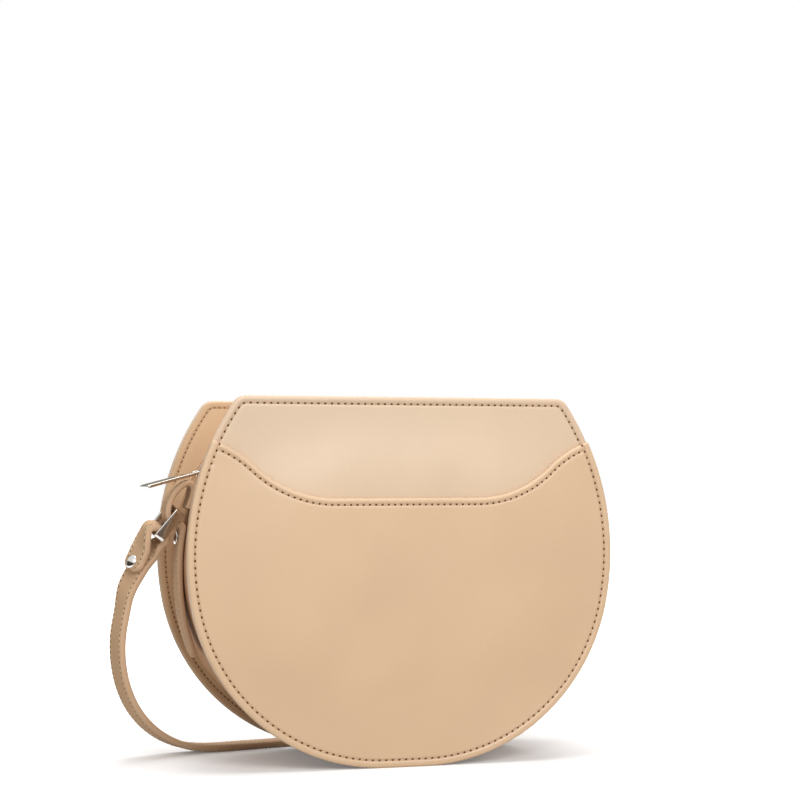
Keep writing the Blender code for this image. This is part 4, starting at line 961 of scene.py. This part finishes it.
closing = carried([facing_top[-1], *nose, *facing_under, *flange_foot], high_line)
closing = np.concatenate([closing, flange[:1]])
facing_row = strip[FACING_ROW_INDEX]
walked = walk(facing_row)
facing_count = walked / walked[-1] * round(walked[-1] / FACING_PITCH)
facing_mark = np.stack(np.broadcast_arrays(facing_count[None], row_away[:, None] * MILLI), axis=-1)
for word, turn_round, inwards in (("front", np.array, (0, 1, 0)), ("back", to_back, (0, -1, 0))):
    facing = skin(f"zip_facing_{word}_leather", [
        (turn_round(flange), flange_mark), (turn_round(fold), None),
        (turn_round(strip), facing_mark), (turn_round(closing), None),
    ])
    fit(f"zip_facing_{word}_leather", facing, gusset_tan_painted_shade, "bag", [f"zip_facing_{word}"])
    line = turn_round(facing_row)
    outward = np.gradient(line, axis=0)[:, [2, 1, 0]] * [-1, 0, 1]
    sew(f"zip_facing_{word}_thread", line, facing_count, outward, FACING_PITCH, linen, "bag")
    sew(f"zip_flange_{word}_thread", turn_round(flange_row), flange_mark[0, :, 0], inwards, FLANGE_PITCH,
        dark_linen, "bag")


# The zip's tapes, teeth and stop.
# Two woven tapes are sewn under the facings. Each carries a corded bead with a row of pressed metal teeth,
# which reach past the middle between each other. A folded metal stop holds both tapes at the far end.
TAPE_THICKNESS = 0.0006
TAPE_ROOM = 0.0005
TAPE_UNDER_FACING = 0.006
TOOTH_PITCH = 0.0030
TOOTH_REACH = 0.0008
TOOTH_ROOT = 0.0015
BEAD_WIDTH = 0.0008
TOOTH_THICKNESS = 0.0020
TOOTH_HALF_HEIGHT = 0.00066
BEAD_HIGH = 0.0008
BEAD_DEEP = 0.0006
SLIDER_LENGTH = 0.011
TAPE_MIDDLE = FLANGE_DEPTH - ZIP_SWELL + GUSSET_LEATHER + TAPE_ROOM + TAPE_THICKNESS / 2

tape_cloth = cloth("zip tape", tone(150, 116, 84), 2600.0)
bead_depth = MID_DEPTH - TOOTH_ROOT - BEAD_WIDTH / 2
tape_edge = facing_edge - TAPE_UNDER_FACING
tape_top = TAPE_MIDDLE - TAPE_THICKNESS / 2
tape_foot = TAPE_MIDDLE + TAPE_THICKNESS / 2
bead = [
    (TAPE_MIDDLE - BEAD_HIGH * math.cos(turn), bead_depth + BEAD_DEEP * math.sin(turn), True)
    for turn in np.linspace(-0.75, 0.75, 9) * math.pi
]
tape = [
    (tape_top, tape_edge, True), (tape_top, bead_depth - BEAD_HIGH, True), *bead,
    (tape_foot, bead_depth - BEAD_HIGH, True), (tape_foot, tape_edge, True), (tape_top, tape_edge, True),
]
for word, section in (("front", tape), ("back", flipped(tape))):
    woven = skin(f"zip_tape_{word}_cloth", [(carried(section, high_line), None)])
    fit(f"zip_tape_{word}_cloth", woven, tape_cloth, "bag", [f"zip_tape_{word}"])


def metal(name, colour, rough, scratch=0.05):
    """Bright metal: fine scratches drawn out one way, and faint blotches in its polish."""
    made = Finish(name)
    place = made.place()
    drawn = made.add("ShaderNodeMapping", None, {"Vector": place, "Scale": (300.0, 300.0, 4000.0)})
    lines = made.noise(drawn, 1.0, 3.0)
    blotch = made.noise(place, 160.0)
    made.feed(made.shader, {
        "Base Color": made.mix(blotch, shaded(colour, 0.86), colour),
        "Metallic": 1.0,
        "Roughness": lines * scratch + blotch * scratch + rough,
        "Normal": made.bump(lines, 0.06, 0.00005),
    })
    return made


zip_metal = metal("zip metal", tone(222, 220, 214), 0.24, 0.12)
nickel = metal("polished nickel", tone(226, 224, 220), 0.08, 0.05)
zip_path = high_line(TAPE_MIDDLE)
zip_walked = walk(zip_path)
zip_ahead = np.gradient(zip_path, axis=0)
tooth_places = np.arange(SLIDER_LENGTH, zip_walked[-1] - SLIDER_LENGTH - TOOTH_PITCH, TOOTH_PITCH)
tooth_sizes = ((TOOTH_ROOT + BEAD_WIDTH + TOOTH_REACH) / 2, TOOTH_THICKNESS / 2, TOOTH_HALF_HEIGHT)
for word, facing, phase in (("front", -1, 0.0), ("back", 1, TOOTH_PITCH / 2)):
    place = read_at(tooth_places + phase, zip_walked, zip_path)
    ahead = unit(read_at(tooth_places + phase, zip_walked, zip_ahead))
    outward = np.stack([-ahead[:, 1], np.zeros(len(ahead)), ahead[:, 0]], axis=1)
    across = np.tile([0.0, float(facing), 0.0], (len(place), 1))
    middle = MID_DEPTH + facing * (TOOTH_ROOT + BEAD_WIDTH - TOOTH_REACH) / 2
    name = f"zip_teeth_{word}_metal"
    teeth = pellets(name, in_depth(place, middle), across, outward, tooth_sizes, square=0.55)
    fit(name, teeth, zip_metal, "bag", [f"zip_teeth_{word}"])


def softened(node, finish, width):
    """Gives a CAD solid, which keeps its shape, its material and softened edges."""
    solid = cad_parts[node]
    solid.data.materials.clear()
    solid.data.materials.append(finish.material)
    weld = solid.modifiers.new("weld", "WELD")
    weld.merge_threshold = 1e-5
    bevel = solid.modifiers.new("soft edges", "BEVEL")
    bevel.width = width
    bevel.segments = 3
    bevel.limit_method = "ANGLE"
    bevel.angle_limit = math.radians(30)


softened("zip_stop", zip_metal, 0.0003)


# The zip's slider and puller.
# The slider is cast metal, plated and polished. The puller is a stamped plate with a window at its narrow end,
# which hooks through the arch on the slider's back.
softened("zip_slider", nickel, 0.00025)
PULLER_LENGTH = 0.0346
PULLER_THICKNESS = 0.0015
PULLER_EYE_WIDTH = 0.0057
PULLER_END_WIDTH = 0.0085
PULLER_BAR = 0.0012
PULLER_WINDOW_LENGTH = 0.0046
PULLER_WINDOW_WIDTH = 0.0037
PULLER_ROUND = 0.0018
PULLER_EYE_ROUND = 0.0016
PULLER_WINDOW_ROUND = 0.0009
PULLER_EDGE = 0.00035
PULLER_WINDOW_EDGE_SHARE = 0.6
PULLER_PIVOT = np.array([-0.092102, 0.039395, 0.143715])
PULLER_YAW = math.radians(20.6)
PULLER_DROP = math.radians(13)


def round_polygon(corners, radii, steps=7, along=6):
    """A polygon with round corners: at each corner the line turns on a quadratic curve that starts and ends the
    radius away from it, and each side between has so many points."""
    corners = np.asarray(corners, float)
    ahead = np.roll(corners, -1, axis=0) - corners
    behind = np.roll(corners, 1, axis=0) - corners
    start = corners + unit(behind) * np.asarray(radii)[:, None]
    end = corners + unit(ahead) * np.asarray(radii)[:, None]
    t = np.linspace(0.0, 1.0, steps)[:, None, None]
    bend = (1 - t) ** 2 * start + 2 * t * (1 - t) * corners + t**2 * end
    s = (np.arange(1, along + 1) / (along + 1))[:, None, None]
    side = end + (np.roll(start, -1, axis=0) - end) * s
    return np.concatenate([bend, side]).transpose(1, 0, 2).reshape(-1, 2)


def outset(corners, amount):
    """A convex polygon's corners moved out from its middle line by line, by the amount."""
    corners = np.asarray(corners, float)
    ahead = unit(np.roll(corners, -1, axis=0) - corners)
    normal = np.stack([ahead[:, 1], -ahead[:, 0]], axis=1)
    before = np.roll(normal, 1, axis=0)
    return corners + amount * (normal + before) / (1 + (normal * before).sum(axis=1, keepdims=True))


flat_way = np.array([math.cos(PULLER_YAW), math.sin(PULLER_YAW), 0.0])
plate_way = -math.cos(PULLER_DROP) * flat_way - [0.0, 0.0, math.sin(PULLER_DROP)]
hinge_way = np.array([math.sin(PULLER_YAW), -math.cos(PULLER_YAW), 0.0])
puller_axes = np.stack([plate_way, hinge_way, np.cross(plate_way, hinge_way)])
half_bar = PULLER_BAR / 2
half_eye = PULLER_EYE_WIDTH / 2
half_end = PULLER_END_WIDTH / 2
half_window = PULLER_WINDOW_WIDTH / 2
window_end = half_bar + PULLER_WINDOW_LENGTH
plate = [(-half_bar, -half_eye), (PULLER_LENGTH, -half_end), (PULLER_LENGTH, half_end), (-half_bar, half_eye)]
window = [(half_bar, -half_window), (window_end, -half_window)]
window += [(x, -y) for x, y in window[::-1]]
plate_round = [PULLER_EYE_ROUND, PULLER_ROUND, PULLER_ROUND, PULLER_EYE_ROUND]
edge_turns = np.linspace(-math.pi / 2, math.pi / 2, 9)
# The section goes round: out over the plate's rim from its under side to its upper one, and back in the window
rows = []
for corners, round_corners, turns, share in (
    (plate, plate_round, edge_turns, -1.0),
    (window, [PULLER_WINDOW_ROUND] * 4, edge_turns[::-1], PULLER_WINDOW_EDGE_SHARE),
):
    for turn in turns:
        flat = round_polygon(outset(corners, PULLER_EDGE * (1 - math.cos(turn)) * share), round_corners)
        level = (PULLER_THICKNESS / 2 - PULLER_EDGE) * np.sign(turn) + PULLER_EDGE * math.sin(turn)
        rows.append(np.insert(flat, 2, level, axis=1))
grid = np.stack([*rows, rows[0]])
grid = np.concatenate([grid, grid[:, :1]], axis=1) @ puller_axes + PULLER_PIVOT
fit("zip_puller_plate", skin("zip_puller_plate", [(grid, None)]), nickel, "puller", ["zip_puller"])


# The anchor tabs and their rivets.
# On each side a thick leather strip is sewn up the gusset. At its top it folds out into a loop that holds the
# ring, and a domed rivet goes through it just below.
TAB_WIDTH = 0.0130
TAB_LEATHER = 0.0030
TAB_TIP_HEIGHT = 0.052
TAB_TIP_ROUND = 0.006
TAB_SEAT = 0.0004
TAB_SEWN_DOWN_TO = 0.100
TAB_SPRINGS = {"left": 0.0031, "right": 0.0}
TAB_SPRING_WAY_SHARE = 1.25
TAB_STEPS = 40
TAB_SPACING = 0.0005
TAB_ROW_START = 8
LOOP_FOOT = 0.1155
LOOP_RISE = 0.0222
LOOP_REACH = 0.0099
LOOP_SHARES = (
    (0.00, 0.00), (0.14, 0.08), (0.52, 0.15), (0.88, 0.27), (1.02, 0.50), (0.98, 0.74),
    (0.77, 0.93), (0.44, 1.00), (0.13, 0.90), (0.00, 0.70), (0.00, 0.44),
)
TAB_MIDDLE = GUSSET_MID - TAB_SEAT - TAB_LEATHER / 2
STRAP_PITCH = 0.0027
STRAP_ROW = 0.0019
STRAP_ROUND = 0.0013
STRAP_GROOVE_DEEP = 0.00026
STRAP_GROOVE_WIDE = 0.0004
STRAP_THREAD_DEPTH = 0.00016
STRAP_EDGE_POWER = 0.8
TABLE_GAP = 0.0001
TIP_POINTS = 14
CURVE_STEPS = 8
SIDES = ((-1, "left"), (1, "right"))


def on_side(height, inset, side):
    """The point of the gusset's arc at this height, and the way out there."""
    radius = LOWER_RADIUS - inset
    turn = math.acos((LOWER_CENTRE[1] - height) / radius)
    away = np.array([side * math.sin(turn), -math.cos(turn)])
    return LOWER_CENTRE * [side, 1] + radius * away, away


def curve_through(points, steps):
    """A smooth curve through points: between each two a cubic whose slope at a point is half the step from the
    point before to the point after."""
    points = np.asarray(points, float)
    padded = np.vstack([2 * points[0] - points[1], points, 2 * points[-1] - points[-2]])
    before, a, b, after = padded[:-3, None], padded[1:-2, None], padded[2:-1, None], padded[3:, None]
    t = np.linspace(0, 1, steps, endpoint=False)[None, :, None]
    second = 2 * before - 5 * a + 4 * b - after
    third = 3 * a - before - 3 * b + after
    line = (2 * a + (b - before) * t + second * t**2 + third * t**3) / 2
    return np.vstack([line.reshape(-1, points.shape[1]), points[-1:]])


def strap_section(half, thick):
    """Half of a strap's section from one edge over the face to the middle, as ways in from the edge and
    heights, with round edges and a groove for the stitches."""
    turns = np.linspace(0.0, math.pi / 2, 6)
    over_edge = STRAP_ROUND * (1 - np.cos(turns))
    over_row = STRAP_ROW + np.array([-0.25, 0.0, 0.25, 0.5, 1.0]) / MILLI
    ways = np.concatenate([over_edge, over_row, [0.55 * half, half]])
    heights = np.full(len(ways), thick / 2)
    heights[:len(turns)] *= np.sin(turns) ** STRAP_EDGE_POWER
    heights -= STRAP_GROOVE_DEEP * np.exp(-((ways - STRAP_ROW) / STRAP_GROOVE_WIDE) ** 2)
    return ways, heights


def strap(name, line, across, half_widths, half, thick, thin, on_table=False):
    """A strap's surface, its four rows of stitches with the ways they face, and the count of stitches along it.
    Its section is carried along a line: the points lie across by the half width less their way in from the
    edge, and along the normal by their height. Where the strap narrows to its round tip the ways in shrink with
    it. A strap on the table is lifted wherever it would go into it."""
    ahead = unit(np.gradient(line, axis=0))
    across = unit(across - ahead * (across * ahead).sum(axis=1, keepdims=True))
    normal = np.cross(ahead, across)
    ways, heights = strap_section(half, thick)
    top_across = np.concatenate([-(1 - ways / half), (1 - ways[::-1] / half)[1:]])
    top_height = np.concatenate([heights, heights[::-1][1:]])
    sides = np.concatenate([top_across, top_across[::-1][1:-1]])
    rises = np.concatenate([top_height, -top_height[::-1][1:-1]])
    way = np.concatenate([ways, ways[::-1][1:], ways[1:], ways[::-1][1:-1]])
    sides, rises, way = (np.append(part, part[0]) for part in (sides, rises, way))
    grid = line + sides[:, None, None] * (across * half_widths[:, None])
    grid = grid + (rises[:, None] * thin)[..., None] * normal
    if on_table:
        grid[..., 2] += np.maximum(TABLE_GAP - grid[..., 2].min(axis=0), 0.0)
    count = walk(line) / STRAP_PITCH
    mark = np.stack(np.broadcast_arrays(count[None], ((way - STRAP_ROW) * MILLI)[:, None]), axis=-1)
    rows = []
    for sign in (-1, 1):
        for face in (-1, 1):
            offset = across * (sign * (half_widths * (1 - STRAP_ROW / half)))[:, None]
            lift = normal * (face * (thick / 2 - STRAP_THREAD_DEPTH) * thin)[:, None]
            lane = line + offset + lift
            if on_table:
                lane[:, 2] += np.maximum(TABLE_GAP - grid[..., 2].min(axis=0), 0.0)
            rows.append((lane, normal * face))
    return skin(name, [(grid, mark)]), rows, count


def round_tip(line, half, tip, thick):
    """Half widths and shares of the thickness along a line whose first end is round. Both follow a quarter of
    an oval, the root of 1 less the square of what is left: of the tip, or of a third of the thickness."""
    walked = walk(line)
    width_share, thin = (np.sqrt(1 - (1 - np.clip(walked / way, 0.0, 1.0)) ** 2) for way in (tip, thick / 3))
    return half * width_share, thin


def tip_first(line, tip, spacing):
    """A line's even steps, with closer ones at its first end, where a round tip needs them."""
    walked = walk(line[:, :3])
    near = tip * (1 - np.cos(np.linspace(0.0, math.pi / 2, TIP_POINTS)))
    rest = np.linspace(tip, walked[-1], round((walked[-1] - tip) / spacing) + 1)[1:]
    return read_at(np.concatenate([near, rest]), walked, line)


def turned(name, profile, start, axis, sides=36):
    """A solid turned about an axis: the profile gives (distance along it, radius) from pole to pole."""
    axis = unit(np.asarray(axis, float))
    side = unit(np.cross(axis, [0.3, 0.5, 0.81]))
    other = np.cross(axis, side)
    turns = np.linspace(0.0, 2 * math.pi, sides + 1)
    ring = np.cos(turns)[:, None] * side + np.sin(turns)[:, None] * other
    profile = np.asarray(profile)
    grid = start + profile[:, :1, None] * axis + profile[:, 1:, None] * ring
    return skin(name, [(grid, None)])


RIVET_HEAD = 0.0034
RIVET_DOME = 0.0012
RIVET_SHANK = 0.0015
RIVET_FOOT = 0.0028
RIVET_FOOT_THICKNESS = 0.0006
RIVET_SEAT = 0.0002
RIVET_RIM = 0.00015
RIVET_EDGE_SHARE = 0.97
RIVET_END_SHARE = 0.94
TAB_RIVET_HEIGHT = 0.1105


def rivet(name, place, axis, under, over, body, node):
    """A rivet through leather: a flat foot, a shank, and a head whose dome is a quarter of an oval."""
    turns = np.linspace(0.0, math.pi / 2, 12)
    base = over + FIT_GAP
    rises = base + RIVET_RIM + (RIVET_DOME - RIVET_RIM) * np.sin(turns)
    dome = zip(rises, RIVET_HEAD * np.cos(turns))
    foot = -under - FIT_GAP
    profile = [
        (foot - RIVET_FOOT_THICKNESS, 0.0), (foot - RIVET_FOOT_THICKNESS, RIVET_FOOT * RIVET_END_SHARE),
        (foot - RIVET_FOOT_THICKNESS / 2, RIVET_FOOT), (foot, RIVET_FOOT * RIVET_EDGE_SHARE),
        (foot, RIVET_SHANK), (base, RIVET_SHANK), (base, RIVET_HEAD * RIVET_EDGE_SHARE), *dome,
    ]
    fit(name, turned(name, profile, place, axis), nickel, body, [node])


pale_linen = thread("strap thread", tone(242, 220, 190))
strap_tan = leather("strap leather", tone(206, 171, 136), gloss=0.58, shine=0.03, needle=0.8,
                    hole=tone(104, 70, 42), rim=tone(214, 182, 152))
for side, word in SIDES:
    heights = np.linspace(TAB_TIP_HEIGHT, LOOP_FOOT, TAB_STEPS)
    unsewn = (TAB_SEWN_DOWN_TO - heights) / (TAB_SEWN_DOWN_TO - TAB_TIP_HEIGHT)
    springs = TAB_SPRINGS[word] * ease(unsewn / TAB_SPRING_WAY_SHARE)
    sewn = zip(heights, TAB_MIDDLE - springs)
    lower = np.array([on_side(height, inset, side)[0] for height, inset in sewn])
    keys = [
        on_side(LOOP_FOOT + rise * LOOP_RISE, TAB_MIDDLE, side)[0] + [side * reach * LOOP_REACH, 0.0]
        for reach, rise in LOOP_SHARES
    ]
    looped = curve_through([lower[-2], *keys], CURVE_STEPS)[CURVE_STEPS:]
    line = tip_first(in_depth(np.vstack([lower, looped[1:]]), MID_DEPTH), TAB_TIP_ROUND, TAB_SPACING)
    across = np.tile([0.0, 1.0, 0.0], (len(line), 1))
    widths, thin = round_tip(line, TAB_WIDTH / 2, TAB_TIP_ROUND, TAB_LEATHER)
    name = f"anchor_tab_{word}_leather"
    tab, rows, count = strap(name, line, across, widths, TAB_WIDTH / 2, TAB_LEATHER, thin)
    fit(name, tab, strap_tan, "bag", [f"anchor_tab_{word}"])
    # Only the tab's outer face is sewn where it can be seen, and the rows start past its round tip
    seen_rows = [(lane, outward) for lane, outward in rows if side * outward[TAB_STEPS, 0] > 0]
    for number, (lane, outward) in enumerate(seen_rows, 1):
        sew(f"anchor_tab_{word}_thread_{number}", lane[TAB_ROW_START:], count[TAB_ROW_START:],
            outward[TAB_ROW_START:], STRAP_PITCH, linen, "bag")
    place, away = on_side(TAB_RIVET_HEIGHT, GUSSET_MID, side)
    rivet(f"anchor_rivet_{word}_metal", in_depth(place, MID_DEPTH), (away[0], 0.0, away[1]),
          GUSSET_LEATHER + RIVET_SEAT, TAB_LEATHER + TAB_SEAT, "bag", f"anchor_rivet_{word}")


# The rings.
# Each ring is a flat band of metal bent into a rectangle, polished and plated. Its inner bar turns in the tab's
# loop, and its outer bar carries the strap.
RING_LENGTH = 0.0174
RING_SPAN = 0.0212
RING_BAND = 0.0053
RING_METAL = 0.0016
RING_CORNER = 0.0012
RING_EDGE = 0.00032
RING_PIVOT_HEIGHT = 0.1248
RING_PIVOT_OFF_GUSSET = 0.0069
RING_TURNS = {"left": (math.radians(51.5), math.radians(10)), "right": (math.radians(58), 0.0)}


def ring_frame(side, drop, tilt):
    """The ring's pivot, and as rows the ways its sides run, its bars run and its face looks."""
    place, _ = on_side(RING_PIVOT_HEIGHT, GUSSET_MID, side)
    pivot = np.array([place[0] + side * RING_PIVOT_OFF_GUSSET, MID_DEPTH, place[1]])
    bar = np.array([0.0, math.cos(tilt), math.sin(tilt)])
    run = np.array([side * math.cos(drop), 0.0, -math.sin(drop)])
    run = unit(run - bar * (run @ bar))
    return pivot, np.stack([run, bar, np.cross(run, bar)])


def round_box(low, high, radius, steps):
    """A rectangle from its low corner to its high one, with round corners, each a quarter circle in so many
    points: the points from the right upper corner round to the right lower one, and the ways out of them."""
    turns = np.linspace(0.0, math.pi / 2, steps) + np.arange(4)[:, None] * math.pi / 2
    away = np.stack([np.cos(turns), np.sin(turns)], axis=-1)
    (left, bottom), (right, top) = np.add(low, radius), np.subtract(high, radius)
    centres = np.array([(right, top), (left, top), (left, bottom), (right, bottom)])
    return (centres[:, None] + radius * away).reshape(-1, 2), away.reshape(-1, 2)


OUTER_BAR = RING_LENGTH - RING_METAL
half = (RING_SPAN - RING_METAL) / 2
path, path_away = round_box((0.0, -half), (OUTER_BAR, half), RING_CORNER, 9)
section, _ = round_box((-RING_METAL / 2, -RING_BAND / 2), (RING_METAL / 2, RING_BAND / 2), RING_EDGE, 4)
flat_ring = path[None] + section[:, :1, None] * path_away
levels = np.broadcast_to(section[:, 1:, None], (*flat_ring.shape[:2], 1))
ring_grid = np.concatenate([flat_ring, levels], axis=2)
ring_grid = np.concatenate([ring_grid, ring_grid[:, :1]], axis=1)
ring_grid = np.concatenate([ring_grid, ring_grid[:1]], axis=0)
for side, word in SIDES:
    pivot, axes = ring_frame(side, *RING_TURNS[word])
    ring = skin(f"ring_{word}_metal", [(ring_grid @ axes + pivot, None)])
    fit(f"ring_{word}_metal", ring, nickel, f"{word}_ring", [f"ring_{word}"])


# The shoulder strap.
# One long strap of doubled leather, sewn along both edges. Each end folds round its ring's outer bar and is
# riveted to itself. From the left ring it hangs in a bow to the table, and it lies in two loops behind the bag.
STRAP_WIDTH = 0.0136
STRAP_THICKNESS = 0.0034
FOLD_ROOM = 0.0007
FOLD_THROAT = 0.0085
FOLD_LENGTH = 0.0215
FOLD_TAIL = 0.0040
FOLD_TIP_ROUND = 0.005
FOLD_SHARES = (1.0, 0.88, 0.76, 0.62, 0.46, 0.30, 0.14)
FOLD_MEETING = 0.72
FOLD_DROPS = {"left": math.radians(60.5), "right": math.radians(90)}
FOLD_TWISTS = {"left": math.radians(-25), "right": 0.0}
FOLD_TWIST_WAY = 0.0105
STRAP_RIVET_SHARE = 0.80
STRAP_STEP = 0.007
STRAP_CURVE_STEPS = 14
STRAP_SPACING = 0.0006
STRAP_SMOOTHINGS = 160
STRAP_ROW_START = 10
# Each row is a point on the strap's middle line, in shares of the bag's height, then the way its width points
STRAP_SHARES = {
    "left": (
        ((-0.720, 0.267, 0.433), (-0.25, 0.94, 0.20)),
        ((-0.735, 0.275, 0.356), (-0.27, 0.94, 0.16)),
        ((-0.732, 0.292, 0.278), (-0.28, 0.94, 0.11)),
        ((-0.713, 0.311, 0.200), (-0.28, 0.94, 0.06)),
        ((-0.674, 0.340, 0.128), (-0.28, 0.95, 0.03)),
        ((-0.613, 0.378, 0.067), (-0.28, 0.96, 0.01)),
        ((-0.533, 0.411, 0.025), (-0.28, 0.96, 0.00)),
        ((-0.444, 0.439, 0.011), (-0.28, 0.96, 0.00)),
        ((-0.322, 0.469, 0.010), (-0.25, 0.97, 0.00)),
        ((-0.194, 0.497, 0.010), (-0.22, 0.97, 0.00)),
        ((-0.067, 0.517, 0.022), (-0.08, 0.90, 0.40)),
        ((0.056, 0.525, 0.037), (-0.03, 0.40, 0.90)),
        ((0.167, 0.547, 0.039), (0.00, 0.00, 1.00)),
        ((0.250, 0.617, 0.039), (0.00, 0.00, 1.00)),
        ((0.272, 0.700, 0.039), (0.00, 0.00, 1.00)),
        ((0.233, 0.778, 0.039), (0.00, 0.00, 1.00)),
        ((0.144, 0.817, 0.039), (0.00, 0.00, 1.00)),
        ((0.044, 0.833, 0.039), (0.00, 0.00, 1.00)),
        ((-0.039, 0.883, 0.039), (0.00, 0.00, 1.00)),
        ((-0.067, 0.967, 0.039), (0.00, 0.00, 1.00)),
        ((-0.022, 1.050, 0.039), (0.00, 0.00, 1.00)),
        ((0.078, 1.086, 0.039), (0.00, 0.00, 1.00)),
        ((0.200, 1.092, 0.039), (0.00, 0.00, 1.00)),
        ((0.333, 1.092, 0.039), (0.00, 0.00, 1.00)),
    ),
    "right": (
        ((0.597, 0.214, 0.383), (0.03, 0.99, 0.00)),
        ((0.561, 0.219, 0.289), (0.10, 0.98, 0.10)),
        ((0.500, 0.231, 0.183), (0.25, 0.95, 0.15)),
        ((0.428, 0.258, 0.092), (0.48, 0.86, 0.15)),
        ((0.383, 0.317, 0.033), (0.85, 0.50, 0.10)),
        ((0.364, 0.400, 0.012), (0.99, 0.10, 0.00)),
        ((0.369, 0.489, 0.022), (0.95, 0.00, 0.30)),
        ((0.425, 0.567, 0.036), (0.50, -0.40, 0.80)),
        ((0.517, 0.619, 0.039), (0.00, 0.00, 1.00)),
        ((0.608, 0.686, 0.039), (0.00, 0.00, 1.00)),
        ((0.661, 0.778, 0.039), (0.00, 0.00, 1.00)),
        ((0.669, 0.883, 0.039), (0.00, 0.00, 1.00)),
        ((0.633, 0.981, 0.039), (0.00, 0.00, 1.00)),
        ((0.556, 1.053, 0.039), (0.00, 0.00, 1.00)),
        ((0.450, 1.086, 0.039), (0.00, 0.00, 1.00)),
        ((0.333, 1.092, 0.039), (0.00, 0.00, 1.00)),
    ),
}
leaf_off = (STRAP_THICKNESS + FIT_GAP) / 2
bend_deep = RING_METAL / 2 + FOLD_ROOM + STRAP_THICKNESS / 2
bend_wide = RING_BAND / 2 + FOLD_ROOM + STRAP_THICKNESS / 2
BAR_WAY = np.array([0.0, 1.0, 0.0])
bar_place = np.array([OUTER_BAR, 0.0, 0.0])
for side, word in SIDES:
    pivot, axes = ring_frame(side, *RING_TURNS[word])
    hanging = axes @ np.array([side * math.cos(FOLD_DROPS[word]), 0.0, -math.sin(FOLD_DROPS[word])])
    turn = math.atan2(hanging[2], hanging[0])
    bends = np.linspace(0, math.pi / 2, 5)
    corner = [
        (-bend_deep * math.sin(bend), bend_wide - bend_deep + bend_deep * math.cos(bend)) for bend in bends
    ]
    # The flap and the leg lie straight from the bar to where they meet, just above the rivet
    shares = np.array(FOLD_SHARES)
    spread = np.clip(1 - shares / FOLD_MEETING, 0.0, 1.0)
    flap = list(zip(FOLD_LENGTH * shares, leaf_off + (bend_wide - leaf_off) * spread))
    leg = [(along, -away) for along, away in flap[::-1]]
    leg += [(FOLD_LENGTH + FOLD_TAIL, -leaf_off), (FOLD_LENGTH + FOLD_TAIL + STRAP_STEP, -leaf_off)]
    plan = np.array(flap + corner + [(along, -away) for along, away in corner[::-1]] + leg)
    plan = curve_through(plan, CURVE_STEPS) * [1, side]
    turns = turn * np.clip(plan[:, 0] / FOLD_THROAT, 0.0, 1.0)
    local = np.stack([
        OUTER_BAR + plan[:, 0] * np.cos(turns) - plan[:, 1] * np.sin(turns), np.zeros(len(plan)),
        plan[:, 0] * np.sin(turns) + plan[:, 1] * np.cos(turns),
    ], axis=1)
    # Past the ring the fold twists a little about its own middle line, the way the weight of the strap turns it
    twist = FOLD_TWISTS[word] * ease(plan[:, 0] / FOLD_TWIST_WAY)[:, None]
    run = np.array([math.cos(turn), 0.0, math.sin(turn)])
    away = np.array([-math.sin(turn), 0.0, math.cos(turn)])
    lifted = (local - bar_place) @ away
    local += lifted[:, None] * (away * (np.cos(twist) - 1) - BAR_WAY * np.sin(twist))
    folded = local @ axes + pivot
    folded_across = (BAR_WAY * np.cos(twist) + away * np.sin(twist)) @ axes
    points = np.array([np.multiply(place, BAG_HEIGHT) for place, _ in STRAP_SHARES[word]])
    ways = np.array([way for _, way in STRAP_SHARES[word]])
    # The route starts from the fold's last two given points, so that it leaves the fold without a kink
    last_two = [-CURVE_STEPS - 1, -1]
    lead = np.hstack([folded[last_two], folded_across[last_two]])
    route = curve_through(np.vstack([lead, np.hstack([points, ways])]), STRAP_CURVE_STEPS)[STRAP_CURVE_STEPS:]
    line = np.vstack([np.hstack([folded[:-1], folded_across[:-1]]), route])
    line = tip_first(line, FOLD_TIP_ROUND, STRAP_SPACING)
    first = np.argmax(walk(line[:, :3]) > walk(folded)[-1] - FOLD_TAIL - STRAP_STEP)
    for _ in range(STRAP_SMOOTHINGS):
        line[first:-1] = (line[first - 1:-2] + 2 * line[first:-1] + line[first + 1:]) / 4
    places, across = line[:, :3], line[:, 3:]
    half = STRAP_WIDTH / 2
    widths, thin = round_tip(places, half, FOLD_TIP_ROUND, STRAP_THICKNESS)
    name = f"strap_{word}_leather"
    hide, rows, count = strap(name, places, across, widths, half, STRAP_THICKNESS, thin, on_table=True)
    pieces = [fit(name, hide, strap_tan, None, [f"strap_{word}", f"strap_end_{word}"])]
    for number, (lane, outward) in enumerate(rows, 1):
        pieces.append(sew(f"strap_{word}_thread_{number}", lane[STRAP_ROW_START:], count[STRAP_ROW_START:],
                          outward[STRAP_ROW_START:], STRAP_PITCH, pale_linen, None))
    for piece in pieces:
        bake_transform(piece)
    along = FOLD_LENGTH * STRAP_RIVET_SHARE
    level = FOLD_TWISTS[word] * ease(np.array(along / FOLD_TWIST_WAY))
    outward = side * (away * math.cos(level) - BAR_WAY * math.sin(level))
    reach = leaf_off + STRAP_THICKNESS / 2
    rivet(f"strap_rivet_{word}_metal", (bar_place + along * run) @ axes + pivot, outward @ axes, reach, reach,
          f"{word}_ring", f"strap_rivet_{word}")
